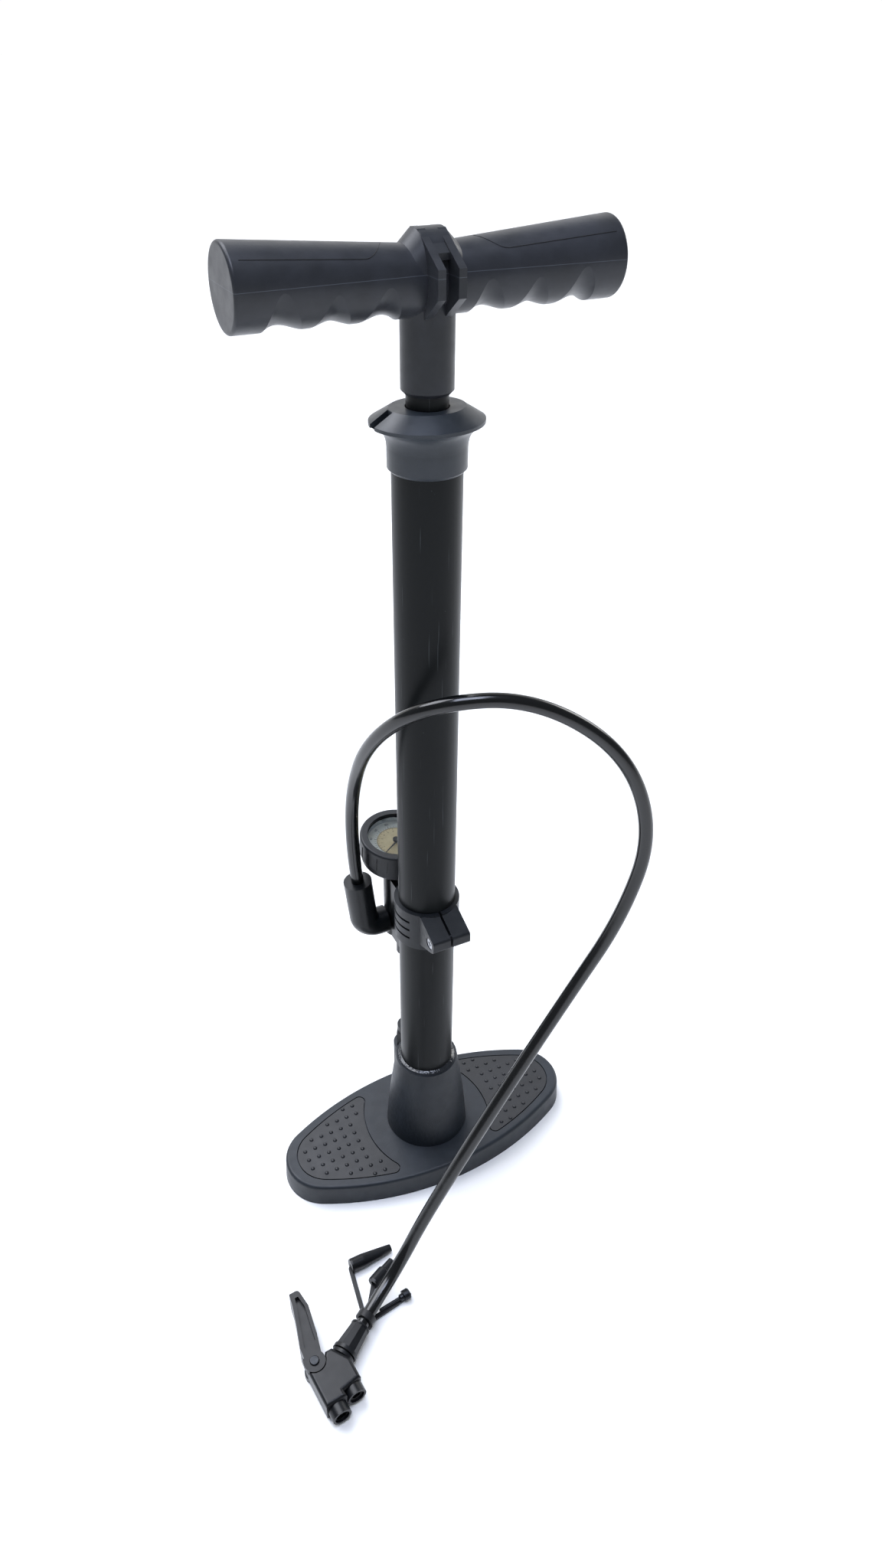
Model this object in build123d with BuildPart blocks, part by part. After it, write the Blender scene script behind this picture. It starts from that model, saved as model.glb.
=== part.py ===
"""Floor bike pump: drawn steel barrel on a moulded foot plate, T handle, pressure gauge behind the barrel,
and a hose with a two-port lever chuck.  Origin: on the floor, on the barrel's axis.  +Z up, +X along the
foot plate and the handle, -Y to the user's side, +Y to the gauge.  All sizes are in millimetres."""
from build123d import *
from math import cos, radians, sin, tan
import os

os.makedirs("parts", exist_ok=True)

# ---------------------------------------------------------------- driving dimensions
FIT = 0.05                      # radial clearance of pieces that are pushed or turned together
SEAL_SECTION = 1.3              # radius of an O-ring's section

# foot plate and tower
BASE_HALF_LENGTH = 116.8
BASE_HALF_WIDTH = 50.9
BASE_END_RADIUS = 30.8
BASE_THICKNESS = 18.3
BASE_WALL = 3.2
BASE_EDGE_RADIUS = 2.6
RIB = 2.4
TOWER_TOP_Z = 90.0
TOWER_FOOT_SPREAD = 12.0         # the tower's foot beyond the barrel
TOWER_WALL = 3.9                # at the rim, outside the barrel
TOWER_BULGE = 0.9               # how far the tower's side bows out of a straight cone
PAD_THICKNESS = 1.8
PAD_END_MARGIN = 9.4
PAD_SIDE_MARGIN = 7.0
PAD_INNER_X = 48.0
PAD_BOW_RADIUS = 62.0
PAD_CORNER_RADIUS = 5.0
PAD_GROOVE = 0.8
STUD_RADIUS = 1.6
STUD_HEIGHT = 1.0
STUD_PITCH = 8.15
STUD_FIRST_X = 50.2
STUD_ROWS = [(1, 6), (1, 6), (1, 5), (0, 3), (0, 1)]      # first and last column, by rows from the middle
SCREW_CIRCLE_RADIUS = 11.0
SCREW_RADIUS = 2.0
SCREW_HEAD_RADIUS = 4.0
SCREW_HEAD_Z = 6.0

# barrel, cap and piston
BARREL_RADIUS = 19.0
BARREL_WALL = 1.2
BARREL_FOOT_Z = 22.0
BARREL_TOP_Z = 550.0
PLUG_HEIGHT = 18.0
CAP_OVERLAP = 9.6                # the cap's skirt below the barrel's top
CAP_SKIRT_WALL = 2.1
CAP_COLLAR = 3.0                 # the straight part of the skirt above the barrel's top
CAP_FLANGE_RISE = 14.5           # the flange above the barrel's top
CAP_FLANGE_THICKNESS = 1.8
CAP_RISE = 22.6                  # the cap's top above the barrel's top
CAP_FLARE = [(0, 0), (0.30, 0.05), (0.62, 0.24), (0.85, 0.58), (1, 0.93)]    # (share of height, of spread)
CAP_HALF_LENGTH = 30.5
CAP_HALF_WIDTH = 27.2
CAP_SLOPE = 10.2                # how far the sloped top comes in from the flange's rim
CAP_NOTCH_WIDTH = 5.8
CAP_NOTCH_DEPTH = 10.0
BUSH_WALL = 3.0
BUSH_HEIGHT = 18.0
BUSH_SPIGOT = 8.0
BUFFER_THICKNESS = 6.0
ROD_RADIUS = 11.0
ROD_WALL = 1.2
ROD_PLAY = 0.06
PISTON_Z = 46.0
PISTON_HEIGHT = 22.0
PISTON_SPIGOT = 16.0
PISTON_SCREW_RADIUS = 3.0
PISTON_SCREW_HEAD_RADIUS = 5.4
PISTON_RECESS = 5.0
PISTON_NUT_HEIGHT = 5.0
ROD_PLUG_HEIGHT = 22.0
HANDLE_SCREW_RADIUS = 4.0
HANDLE_SCREW_LENGTH = 18.0

# handle
STEM_GAP = 6.4                  # from the cap's top to the stem's foot when the pump is closed
STEM_LENGTH = 55.8              # from the stem's foot to the middle of the grips' ends
STEM_WALL = 2.6
ROD_SOCKET = 44.0
HANDLE_HALF_LENGTH = 100.0
HANDLE_RISE = 19.2              # the boss's top above the middle of the grips' ends
GRIP_END_RADIUS = 19.5
GRIP_NECK_RADIUS = 15.75
GRIP_NECK_DROP = 4.0            # how far the grips' axes sink towards the boss
GRIP_END_FILLET = 1.5
WAVE_PITCH = 22.5               # one finger
WAVE_LAST_X = 85.0              # outermost crest
WAVE_DEPTH = 2.5
WAVE_FADE = 3.0                 # lift of the waves' axis, which makes them fade out at mid height
BOSS_HALF_DEPTH = 15.5
BOSS_HALF_WIDTH = 7.0
SHOULDER = 8.0
CLIP_RIB = 4.0
CLIP_GAP = 6.6
CLIP_REACH = 26.5
CLIP_HIGH = 5.0                 # the ribs' upper front corner above the middle of the grips' ends
CLIP_LOW = -7.8
CLIP_ROOT = -19.0
CLIP_WEB_SINK = 1.0
CLIP_WEB_REACH = 16.5

# clamp, air line and manifold
CLAMP_Z = 218.0
CLAMP_HEIGHT = 30.0
CLAMP_WALL = 3.0
CLAMP_SLIT = 1.6
CLAMP_GROOVE = 1.8
LUG_HALF_WIDTH = 13.5
LUG_LENGTH = 19.5               # the lug beyond the barrel's radius
LUG_SCREW_RADIUS = 2.0
PIPE_OFFSET = 16.0              # the pipe's axis beyond the barrel's radius
PIPE_RADIUS = 3.0
PIPE_WALL = 1.0
OUTLET_Z = 30.0
OUTLET_BOSS_RADIUS = 10.8
OUTLET_BOSS_TOP_Z = 68.0
OUTLET_BORE_RADIUS = 6.5
OUTLET_NUT_RADIUS = 9.0
OUTLET_TOP_Z = 88.0
VALVE_SEAT_Z = 42.0
VALVE_SEAT_HEIGHT = 8.0
VALVE_DISC_RADIUS = 4.6
VALVE_DISC_THICKNESS = 1.6
VALVE_LIFT = 1.5
PORT_RADIUS = 2.2
UNION_Z = 166.0
UNION_RADIUS = 7.1
MANIFOLD_RADIUS = 10.0
MANIFOLD_FOOT_Z = 178.0
MANIFOLD_TOP_Z = 231.0
MANIFOLD_ARM_HALF_WIDTH = 8.0
GAUGE_GAP = 4.5                 # between the barrel and the gauge's bezel

# pressure gauge, measured along its own tilted axis from its face
GAUGE_FACE_Z = 266.0
GAUGE_TILT = 7.0
GAUGE_RADIUS = 25.5
GAUGE_WINDOW_RADIUS = 20.2
BEZEL_HEIGHT = 15.0
BEZEL_LIP = 2.4
BEZEL_WALL = 1.8
BEZEL_NOTCHES = 20
CUP_DEPTH = 32.0
CUP_SIDE_DEPTH = 22.0
CUP_SIDE_SET_BACK = 1.2
CUP_FILLET = 5.0
CUP_WALL = 2.0
CUP_NECK_RADIUS = 9.5
LENS_THICKNESS = 1.8
RING_HEIGHT = 4.0
DIAL_THICKNESS = 0.6
NEEDLE_LENGTH = 15.0
NEEDLE_TAIL = 4.5
NEEDLE_REST_ANGLE = -146.0      # degrees from +X, zero on the dial
NEEDLE_THICKNESS = 0.5
ARBOR_RADIUS = 0.8
GAUGE_STEM_RADIUS = 4.0
GAUGE_BLOCK_RADIUS = 6.5
BOURDON_RADIUS = 14.0
BOURDON_SECTION = 1.7
BOURDON_START = -60.0           # degrees
BOURDON_SWEEP = 270.0
BOURDON_FOOT_HALF_WIDTH = 2.4

# hose and elbow
HOSE_RADIUS = 4.5
HOSE_STANDOFF = 5.0             # from the gauge's side to the hose's axis, above the elbow
HOSE_LEAN = 3.0                 # how far the hose leans out over its first run
RUN_SHARE = 0.45                # share of the shorter run that each rounded corner takes
ELBOW_Z = 191.0
ELBOW_RADIUS = 10.0
ELBOW_BEND = 10.6

# chuck, lying on its side on the floor
CHUCK_PIVOT_X = -149.2
CHUCK_PIVOT_Y = -143.6
CHUCK_Z = 9.0                   # height of its mid plane
CHUCK_TURN = 5.7                # degrees from +X to its cross direction
CHUCK_HALF_THICKNESS = 8.4
NOZZLE_X = 0.8
NOZZLE_PITCH = 13.8
NOZZLE_RADIUS = 6.5
NOZZLE_WALL = 1.5
LONG_NOZZLE_Y = -37.0
SHORT_NOZZLE_Y = -31.0
GROMMET_LENGTH = 9.0
GROMMET_SET_BACK = 1.5
SCHRADER_RADIUS = 3.9
PRESTA_RADIUS = 3.0
NUT_LENGTH = 21.0
NUT_FOOT_RADIUS = 8.4
NUT_TOP_RADIUS = 6.6
NUT_SIDES = 10
NUT_RING = 2.6
NUT_LIP = 1.2
NUT_RING_SPREAD = 0.25
NUT_NECK_RADIUS = 5.4
NUT_COLLAR_RADIUS = 7.9
NUT_GAP = 0.8
NUT_COLLAR = 2.2
BARB_RADIUS = 2.6
YOKE_RADIUS = 7.2
YOKE_GAP = 0.8
TONGUE_HALF_THICKNESS = 4.0
LEVER_PIN_RADIUS = 1.8
LEVER_PIN_HEAD_RADIUS = 3.2
CHUCK_FILLET = 2.4
CHUCK_OUTLINE = [(-6.6, 0), (-6.6, -30), (8.1, -30), (8.1, -26), (21.1, -24), (21.1, -10), (13.5, 2.4),
                 (8.8, 2.4), (7, 0)]
LEVER_OUTLINE = [(-5.2, 3.4), (-4.6, 12), (0, 27), (3.6, 40), (5.2, 49.4), (12, 49.4), (13.2, 36), (9.4, 15),
                 (6.4, 3.2)]
LEVER_POCKET = [(-2.2, 10.5), (2.2, 26), (6, 38.5), (7.4, 45), (9.8, 45), (10.8, 36.6), (6.6, 12)]
LEVER_POCKET_DEPTH = 3.4
LEVER_TIP_FILLET = 2.5

# adapters on their strap
STRAP_THICKNESS = 1.9
STRAP_Z = 0.4
STRAP_WIDTH = 3.0
CONE_RADIUS = 4.8
PRESTA_ADAPTER_RADIUS = 4.3
NEEDLE_COLLAR_RADIUS = 3.8

# ---------------------------------------------------------------- values worked out from those above
BORE_RADIUS = BARREL_RADIUS - BARREL_WALL
TOWER_RIM_RADIUS = BARREL_RADIUS + TOWER_WALL
CAP_SKIRT_RADIUS = BARREL_RADIUS + CAP_SKIRT_WALL
TOWER_FOOT_RADIUS = BARREL_RADIUS + TOWER_FOOT_SPREAD
LUG_REACH = BARREL_RADIUS + LUG_LENGTH
PIPE_Y = BARREL_RADIUS + PIPE_OFFSET
MANIFOLD_Y = BARREL_RADIUS + GAUGE_RADIUS + GAUGE_GAP
CAP_SKIRT_Z = BARREL_TOP_Z - CAP_OVERLAP
CAP_FLARE_Z = BARREL_TOP_Z + CAP_COLLAR
CAP_FLANGE_Z = BARREL_TOP_Z + CAP_FLANGE_RISE
CAP_TOP_Z = BARREL_TOP_Z + CAP_RISE
STEM_FOOT_Z = CAP_TOP_Z + STEM_GAP
HANDLE_CENTRE_Z = STEM_FOOT_Z + STEM_LENGTH
HANDLE_TOP_Z = HANDLE_CENTRE_Z + HANDLE_RISE
BUSH_RADIUS = ROD_RADIUS + BUSH_WALL
STEM_RADIUS = ROD_RADIUS + STEM_WALL
CLAMP_TOP_Z = CLAMP_Z + CLAMP_HEIGHT
ROD_TOP_Z = STEM_FOOT_Z + ROD_SOCKET
BEZEL_BORE_RADIUS = GAUGE_RADIUS - BEZEL_WALL
VALVE_SEAT_TOP_Z = VALVE_SEAT_Z + VALVE_SEAT_HEIGHT

# route of the hose, from the elbow over the barrel's left side and down to the chuck on the floor
HOSE_ROUTE = [
    (-GAUGE_RADIUS - HOSE_STANDOFF, MANIFOLD_Y, 234),
    (-GAUGE_RADIUS - HOSE_STANDOFF - HOSE_LEAN, MANIFOLD_Y, 264), (-35, 40, 322), (-37, 2, 382),
    (-18, -38, 423), (39, -56, 423), (91, -77, 385), (108, -92, 329), (91, -94, 269), (59, -92, 214),
    (22, -95, 161),
    (-16, -99, 106), (-50, -102, 53), (-71, -107, 21), (-91, -116.6, 9.4), (-111.8, -131.3, 9)]

gauge_plane = Plane(origin=(0, MANIFOLD_Y, GAUGE_FACE_Z), x_dir=(1, 0, 0),
                    z_dir=(0, -sin(radians(GAUGE_TILT)), cos(radians(GAUGE_TILT))))
chuck_plane = Plane(origin=(CHUCK_PIVOT_X, CHUCK_PIVOT_Y, CHUCK_Z), z_dir=(0, 0, 1),
                    x_dir=(cos(radians(CHUCK_TURN)), sin(radians(CHUCK_TURN)), 0))
hose_points = [Vector(*point) for point in HOSE_ROUTE]
nut_axis = (hose_points[-2] - hose_points[-1]).normalized()
nut_plane = Plane(origin=hose_points[-1], z_dir=nut_axis)
elbow_axis = (hose_points[1] - hose_points[0]).normalized()
elbow_corner = hose_points[0] - elbow_axis * ((hose_points[0].Z - ELBOW_Z) / elbow_axis.Z)


# ---------------------------------------------------------------- small tools of the model
def save(builder, name):
    """Label a finished piece and write it as its own STEP file."""
    builder.part.label = name
    export_step(builder.part, f"parts/{name}.step")


def disc(radius, low, high, plane=Plane.XY, place=(0, 0), mode=Mode.ADD):
    """Round block between two heights of a plane, added to or cut from the part being built."""
    with BuildSketch(plane.offset(low)) as section:
        with Locations(place):
            Circle(radius)
    extrude(section.sketch, amount=high - low, mode=mode)


def ring(radius, inner, low, high, plane=Plane.XY, place=(0, 0), mode=Mode.ADD):
    """Round tube between two heights of a plane."""
    with BuildSketch(plane.offset(low)) as section:
        with Locations(place):
            Circle(radius)
            Circle(inner, mode=Mode.SUBTRACT)
    extrude(section.sketch, amount=high - low, mode=mode)


def turned(points):
    """Solid of revolution about Z from (radius, height) corners."""
    with BuildSketch(Plane.XZ) as section:
        with BuildLine():
            Polyline(*points, close=True)
        make_face()
    revolve(section.sketch, axis=Axis.Z)


def o_ring(reach, height, name):
    """Seal about the Z axis whose outer edge is at reach."""
    with BuildPart() as seal:
        with BuildSketch(Plane.XZ):
            with Locations((reach - SEAL_SECTION, height)):
                Circle(SEAL_SECTION)
        revolve(axis=Axis.Z)
    save(seal, name)


def oval(half_length, half_width, end_radius, inset=0.0):
    """Outline of two end arcs and two long side arcs that meet tangentially, moved in by inset."""
    side_radius = ((half_length**2 + half_width**2 - 2 * half_length * end_radius)
                   / (2 * (half_width - end_radius)))
    share = (side_radius - inset) / (side_radius - end_radius)
    tangent_x = (half_length - end_radius) * share
    tangent_y = (half_width - side_radius) * (1 - share)
    right, back = half_length - inset, half_width - inset
    ThreePointArc((tangent_x, -tangent_y), (right, 0), (tangent_x, tangent_y))
    ThreePointArc((tangent_x, tangent_y), (0, back), (-tangent_x, tangent_y))
    ThreePointArc((-tangent_x, tangent_y), (-right, 0), (-tangent_x, -tangent_y))
    ThreePointArc((-tangent_x, -tangent_y), (0, -back), (tangent_x, -tangent_y))


def base_outline(inset=0.0):
    oval(BASE_HALF_LENGTH, BASE_HALF_WIDTH, BASE_END_RADIUS, inset)


def pad_face(side, inset=0.0):
    """Face of one foot pad: the plate's outline moved in, cut off by an arc that bows round the tower."""
    half_length = BASE_HALF_LENGTH - PAD_END_MARGIN
    half_width = BASE_HALF_WIDTH - PAD_SIDE_MARGIN
    with BuildSketch(Plane.XY.offset(BASE_THICKNESS), mode=Mode.PRIVATE) as face:
        with BuildLine():
            oval(half_length, half_width, BASE_END_RADIUS - PAD_SIDE_MARGIN, inset)
        make_face()
        with Locations((side * (PAD_INNER_X - PAD_BOW_RADIUS), 0)):
            Circle(PAD_BOW_RADIUS + inset, mode=Mode.SUBTRACT)
        with Locations((-side * BASE_HALF_LENGTH, 0)):
            Rectangle(2 * BASE_HALF_LENGTH, 4 * BASE_HALF_WIDTH, mode=Mode.SUBTRACT)
        across = face.vertices().sort_by(Axis.X)
        inner_corners = across[:2] if side > 0 else across[-2:]
        fillet(inner_corners, PAD_CORNER_RADIUS - inset)
    return face.sketch


# ---------------------------------------------------------------- foot plate with its tower
with BuildPart() as base_plate:
    with BuildSketch():
        with BuildLine():
            base_outline()
        make_face()
    extrude(amount=BASE_THICKNESS, taper=3)
    fillet(base_plate.faces().sort_by(Axis.Z)[-1].edges(), BASE_EDGE_RADIUS)
    # ribbed underside, open to the floor
    with BuildSketch():
        with BuildLine():
            base_outline(BASE_WALL + 1)
        make_face()
        Circle(TOWER_FOOT_RADIUS, mode=Mode.SUBTRACT)
        with Locations((0, PIPE_Y)):
            Circle(OUTLET_BOSS_RADIUS, mode=Mode.SUBTRACT)
        with GridLocations(BASE_HALF_LENGTH / 3.4, 1, 6, 1):
            Rectangle(RIB, 2 * BASE_HALF_WIDTH, mode=Mode.SUBTRACT)
        Rectangle(2 * BASE_HALF_LENGTH, RIB, mode=Mode.SUBTRACT)
    extrude(amount=BASE_THICKNESS - BASE_WALL - PAD_THICKNESS, mode=Mode.SUBTRACT)
    # tower
    with BuildSketch(Plane.XZ):
        with BuildLine():
            Polyline((TOWER_RIM_RADIUS, TOWER_TOP_Z), (0, TOWER_TOP_Z), (0, SCREW_HEAD_Z),
                     (TOWER_FOOT_RADIUS, SCREW_HEAD_Z), (TOWER_FOOT_RADIUS, BASE_THICKNESS))
            ThreePointArc((TOWER_FOOT_RADIUS, BASE_THICKNESS),
                          ((TOWER_FOOT_RADIUS + TOWER_RIM_RADIUS) / 2 + TOWER_BULGE,
                           (BASE_THICKNESS + TOWER_TOP_Z) / 2), (TOWER_RIM_RADIUS, TOWER_TOP_Z))
        make_face()
    revolve(axis=Axis.Z)
    disc(OUTLET_BOSS_RADIUS, SCREW_HEAD_Z, OUTLET_BOSS_TOP_Z, place=(0, PIPE_Y))
    # barrel socket, valve bore, air passage and screw holes
    disc(BARREL_RADIUS + FIT, BARREL_FOOT_Z, TOWER_TOP_Z + 1, mode=Mode.SUBTRACT)
    disc(OUTLET_BORE_RADIUS, OUTLET_Z - PORT_RADIUS - 1, OUTLET_BOSS_TOP_Z + 1, place=(0, PIPE_Y),
         mode=Mode.SUBTRACT)
    disc(PORT_RADIUS, -PIPE_Y, -BORE_RADIUS, plane=Plane.XZ, place=(0, OUTLET_Z), mode=Mode.SUBTRACT)
    with BuildSketch():
        with PolarLocations(SCREW_CIRCLE_RADIUS, 3, start_angle=90):
            Circle(SCREW_HEAD_RADIUS + 0.4)
    extrude(amount=SCREW_HEAD_Z, mode=Mode.SUBTRACT)
    with BuildSketch():
        with PolarLocations(SCREW_CIRCLE_RADIUS, 3, start_angle=90):
            Circle(SCREW_RADIUS + FIT)
    extrude(amount=BARREL_FOOT_Z + 1, mode=Mode.SUBTRACT)
    for side in (-1, 1):
        extrude(pad_face(side), amount=-PAD_THICKNESS, mode=Mode.SUBTRACT)
save(base_plate, "base_plate")

# studded foot pads, let into the plate with a narrow gap all round
with BuildPart() as foot_pads:
    stud_ball = (STUD_RADIUS**2 + STUD_HEIGHT**2) / (2 * STUD_HEIGHT)
    for side in (-1, 1):
        extrude(pad_face(side, PAD_GROOVE), amount=-PAD_THICKNESS)
        stud_places = [(side * (STUD_FIRST_X + column * STUD_PITCH), row_sign * row * STUD_PITCH,
                        BASE_THICKNESS + STUD_HEIGHT - stud_ball)
                       for row, (first, last) in enumerate(STUD_ROWS)
                       for row_sign in ((1, -1) if row else (1,))
                       for column in range(first, last + 1)]
        with Locations(*stud_places):
            Sphere(stud_ball)
    split(bisect_by=Plane.XY.offset(BASE_THICKNESS - PAD_THICKNESS), keep=Keep.TOP)
save(foot_pads, "foot_pads")

with BuildPart() as base_screws:
    with PolarLocations(SCREW_CIRCLE_RADIUS, 3, start_angle=90):
        with Locations((0, 0, SCREW_HEAD_Z - 2)):
            Cylinder(SCREW_HEAD_RADIUS, 2, align=(Align.CENTER, Align.CENTER, Align.MIN))
        with Locations((0, 0, SCREW_HEAD_Z)):
            Cylinder(SCREW_RADIUS, BARREL_FOOT_Z + 4, align=(Align.CENTER, Align.CENTER, Align.MIN))
save(base_screws, "base_screws")

# ---------------------------------------------------------------- barrel, its bottom plug and the seals
with BuildPart() as barrel:
    ring(BARREL_RADIUS, BORE_RADIUS, BARREL_FOOT_Z, BARREL_TOP_Z)
    disc(PORT_RADIUS, -BARREL_RADIUS - 1, -BORE_RADIUS + 2, plane=Plane.XZ, place=(0, OUTLET_Z),
         mode=Mode.SUBTRACT)
save(barrel, "barrel")

plug_seal_z = BARREL_FOOT_Z + PLUG_HEIGHT - 3.6
with BuildPart() as barrel_plug:
    disc(BORE_RADIUS - FIT, BARREL_FOOT_Z, BARREL_FOOT_Z + PLUG_HEIGHT)
    ring(BORE_RADIUS + 1, BORE_RADIUS - FIT - 2 * SEAL_SECTION, plug_seal_z - 1.2 * SEAL_SECTION,
         plug_seal_z + 1.2 * SEAL_SECTION, mode=Mode.SUBTRACT)
    disc(PORT_RADIUS, OUTLET_Z, BARREL_FOOT_Z + PLUG_HEIGHT + 1, mode=Mode.SUBTRACT)
    disc(PORT_RADIUS, -BARREL_RADIUS, 0, plane=Plane.XZ, place=(0, OUTLET_Z), mode=Mode.SUBTRACT)
    with BuildSketch():
        with PolarLocations(SCREW_CIRCLE_RADIUS, 3, start_angle=90):
            Circle(SCREW_RADIUS + FIT)
    extrude(amount=SCREW_HEAD_Z + BARREL_FOOT_Z + 4.5, mode=Mode.SUBTRACT)
save(barrel_plug, "barrel_plug")
o_ring(BORE_RADIUS - FIT / 2, plug_seal_z, "plug_seal")

# adhesive that seals the barrel to the tower's rim
with BuildPart() as sealant_bead:
    turned([(BARREL_RADIUS + FIT / 2, TOWER_TOP_Z), (TOWER_RIM_RADIUS - 1.2, TOWER_TOP_Z),
            (BARREL_RADIUS + 1.8, TOWER_TOP_Z + 1.1), (BARREL_RADIUS + FIT / 2, TOWER_TOP_Z + 1.9)])
save(sealant_bead, "sealant_bead")

# ---------------------------------------------------------------- outlet: check valve and air pipe
with BuildPart() as valve_seat:
    ring(OUTLET_BORE_RADIUS - FIT, PORT_RADIUS, VALVE_SEAT_Z, VALVE_SEAT_TOP_Z, place=(0, PIPE_Y))
save(valve_seat, "valve_seat")

with BuildPart() as check_disc:
    disc(VALVE_DISC_RADIUS, VALVE_SEAT_TOP_Z, VALVE_SEAT_TOP_Z + VALVE_DISC_THICKNESS, place=(0, PIPE_Y))
save(check_disc, "check_disc")

spigot_foot_z = VALVE_SEAT_TOP_Z + VALVE_DISC_THICKNESS + VALVE_LIFT + 0.4
pipe_foot_z = OUTLET_BOSS_TOP_Z + 4
with BuildPart() as outlet_nut:
    disc(OUTLET_BORE_RADIUS - FIT, spigot_foot_z, OUTLET_BOSS_TOP_Z, place=(0, PIPE_Y))
    with BuildSketch(Plane.XY.offset(OUTLET_BOSS_TOP_Z)):
        with Locations((0, PIPE_Y)):
            RegularPolygon(OUTLET_NUT_RADIUS, 6)
    extrude(amount=OUTLET_TOP_Z - 6 - OUTLET_BOSS_TOP_Z)
    disc(OUTLET_NUT_RADIUS - 1.4, OUTLET_TOP_Z - 6, OUTLET_TOP_Z, place=(0, PIPE_Y))
    disc(PIPE_RADIUS + FIT, pipe_foot_z, OUTLET_TOP_Z + 1, place=(0, PIPE_Y), mode=Mode.SUBTRACT)
    disc(PIPE_RADIUS - PIPE_WALL, spigot_foot_z, pipe_foot_z, place=(0, PIPE_Y), mode=Mode.SUBTRACT)
save(outlet_nut, "outlet_nut")

with BuildPart() as air_pipe:
    ring(PIPE_RADIUS, PIPE_RADIUS - PIPE_WALL, pipe_foot_z, MANIFOLD_FOOT_Z + 6, place=(0, PIPE_Y))
save(air_pipe, "air_pipe")

with BuildPart() as pipe_union:
    with BuildSketch(Plane.XY.offset(UNION_Z)):
        with Locations((0, PIPE_Y)):
            Circle(UNION_RADIUS)
    extrude(amount=MANIFOLD_FOOT_Z - UNION_Z)
    chamfer(pipe_union.faces().sort_by(Axis.Z)[0].edges(), 2)
    disc(PIPE_RADIUS + FIT, UNION_Z, MANIFOLD_FOOT_Z, place=(0, PIPE_Y), mode=Mode.SUBTRACT)
save(pipe_union, "pipe_union")

# ---------------------------------------------------------------- clamp round the barrel
lug_screw_y, lug_screw_z = 6.5 - LUG_REACH, CLAMP_TOP_Z - 12.2
with BuildPart() as clamp_band:
    disc(BARREL_RADIUS + CLAMP_WALL, CLAMP_Z, CLAMP_TOP_Z)
    with BuildSketch(Plane.YZ.offset(-LUG_HALF_WIDTH)):
        with BuildLine():
            Polyline((-12, CLAMP_TOP_Z), (-BARREL_RADIUS, CLAMP_TOP_Z), (-LUG_REACH, CLAMP_TOP_Z - 8),
                     (-LUG_REACH, CLAMP_TOP_Z - 15.6), (-LUG_REACH + 4, CLAMP_TOP_Z - 18), (-12, CLAMP_Z + 3),
                     close=True)
        make_face()
    extrude(amount=2 * LUG_HALF_WIDTH)
    fillet(clamp_band.edges().filter_by(Axis.X).group_by(Axis.Y)[0], 2.5)
    disc(BARREL_RADIUS + FIT / 2, CLAMP_Z - 1, CLAMP_TOP_Z + 1, mode=Mode.SUBTRACT)
    with Locations((0, -LUG_REACH, CLAMP_Z + CLAMP_HEIGHT / 2)):
        Box(CLAMP_SLIT, 2 * (LUG_REACH - BARREL_RADIUS) + 4, CLAMP_HEIGHT + 2, mode=Mode.SUBTRACT)
    for level in (0.27, 0.5, 0.73):
        with BuildSketch(Plane.XY.offset(CLAMP_Z + level * CLAMP_HEIGHT - CLAMP_GROOVE / 2)):
            Circle(BARREL_RADIUS + CLAMP_WALL + 1)
            Circle(BARREL_RADIUS + CLAMP_WALL - 1.1, mode=Mode.SUBTRACT)
            Rectangle(80, 24, mode=Mode.INTERSECT)
        extrude(amount=CLAMP_GROOVE, mode=Mode.SUBTRACT)
    clamp_bore = Plane.YZ.offset(-LUG_HALF_WIDTH)
    disc(LUG_SCREW_RADIUS + FIT, 0, 2 * LUG_HALF_WIDTH, plane=clamp_bore, place=(lug_screw_y, lug_screw_z),
         mode=Mode.SUBTRACT)
    disc(2 * LUG_SCREW_RADIUS, 0, 2.6, plane=clamp_bore, place=(lug_screw_y, lug_screw_z),
         mode=Mode.SUBTRACT)
    disc(2 * LUG_SCREW_RADIUS, 2 * LUG_HALF_WIDTH - 3.4, 2 * LUG_HALF_WIDTH, plane=clamp_bore,
         place=(lug_screw_y, lug_screw_z), mode=Mode.SUBTRACT)
save(clamp_band, "clamp_band")

with BuildPart() as clamp_screw:
    disc(2 * LUG_SCREW_RADIUS - 0.3, 0.4, 2.6, plane=clamp_bore, place=(lug_screw_y, lug_screw_z))
    disc(LUG_SCREW_RADIUS, 2.6, 2 * LUG_HALF_WIDTH - 0.4, plane=clamp_bore, place=(lug_screw_y, lug_screw_z))
    with BuildSketch(clamp_bore.offset(0.4)):
        with Locations((lug_screw_y, lug_screw_z)):
            Rectangle(0.9, 4.6)
            Rectangle(4.6, 0.9)
    extrude(amount=1.2, mode=Mode.SUBTRACT)
save(clamp_screw, "clamp_screw")

with BuildPart() as clamp_nut:
    ring(2 * LUG_SCREW_RADIUS - 0.3, LUG_SCREW_RADIUS + FIT, 2 * LUG_HALF_WIDTH - 3.4,
         2 * LUG_HALF_WIDTH - 0.8, plane=clamp_bore, place=(lug_screw_y, lug_screw_z))
save(clamp_nut, "clamp_nut")

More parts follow.
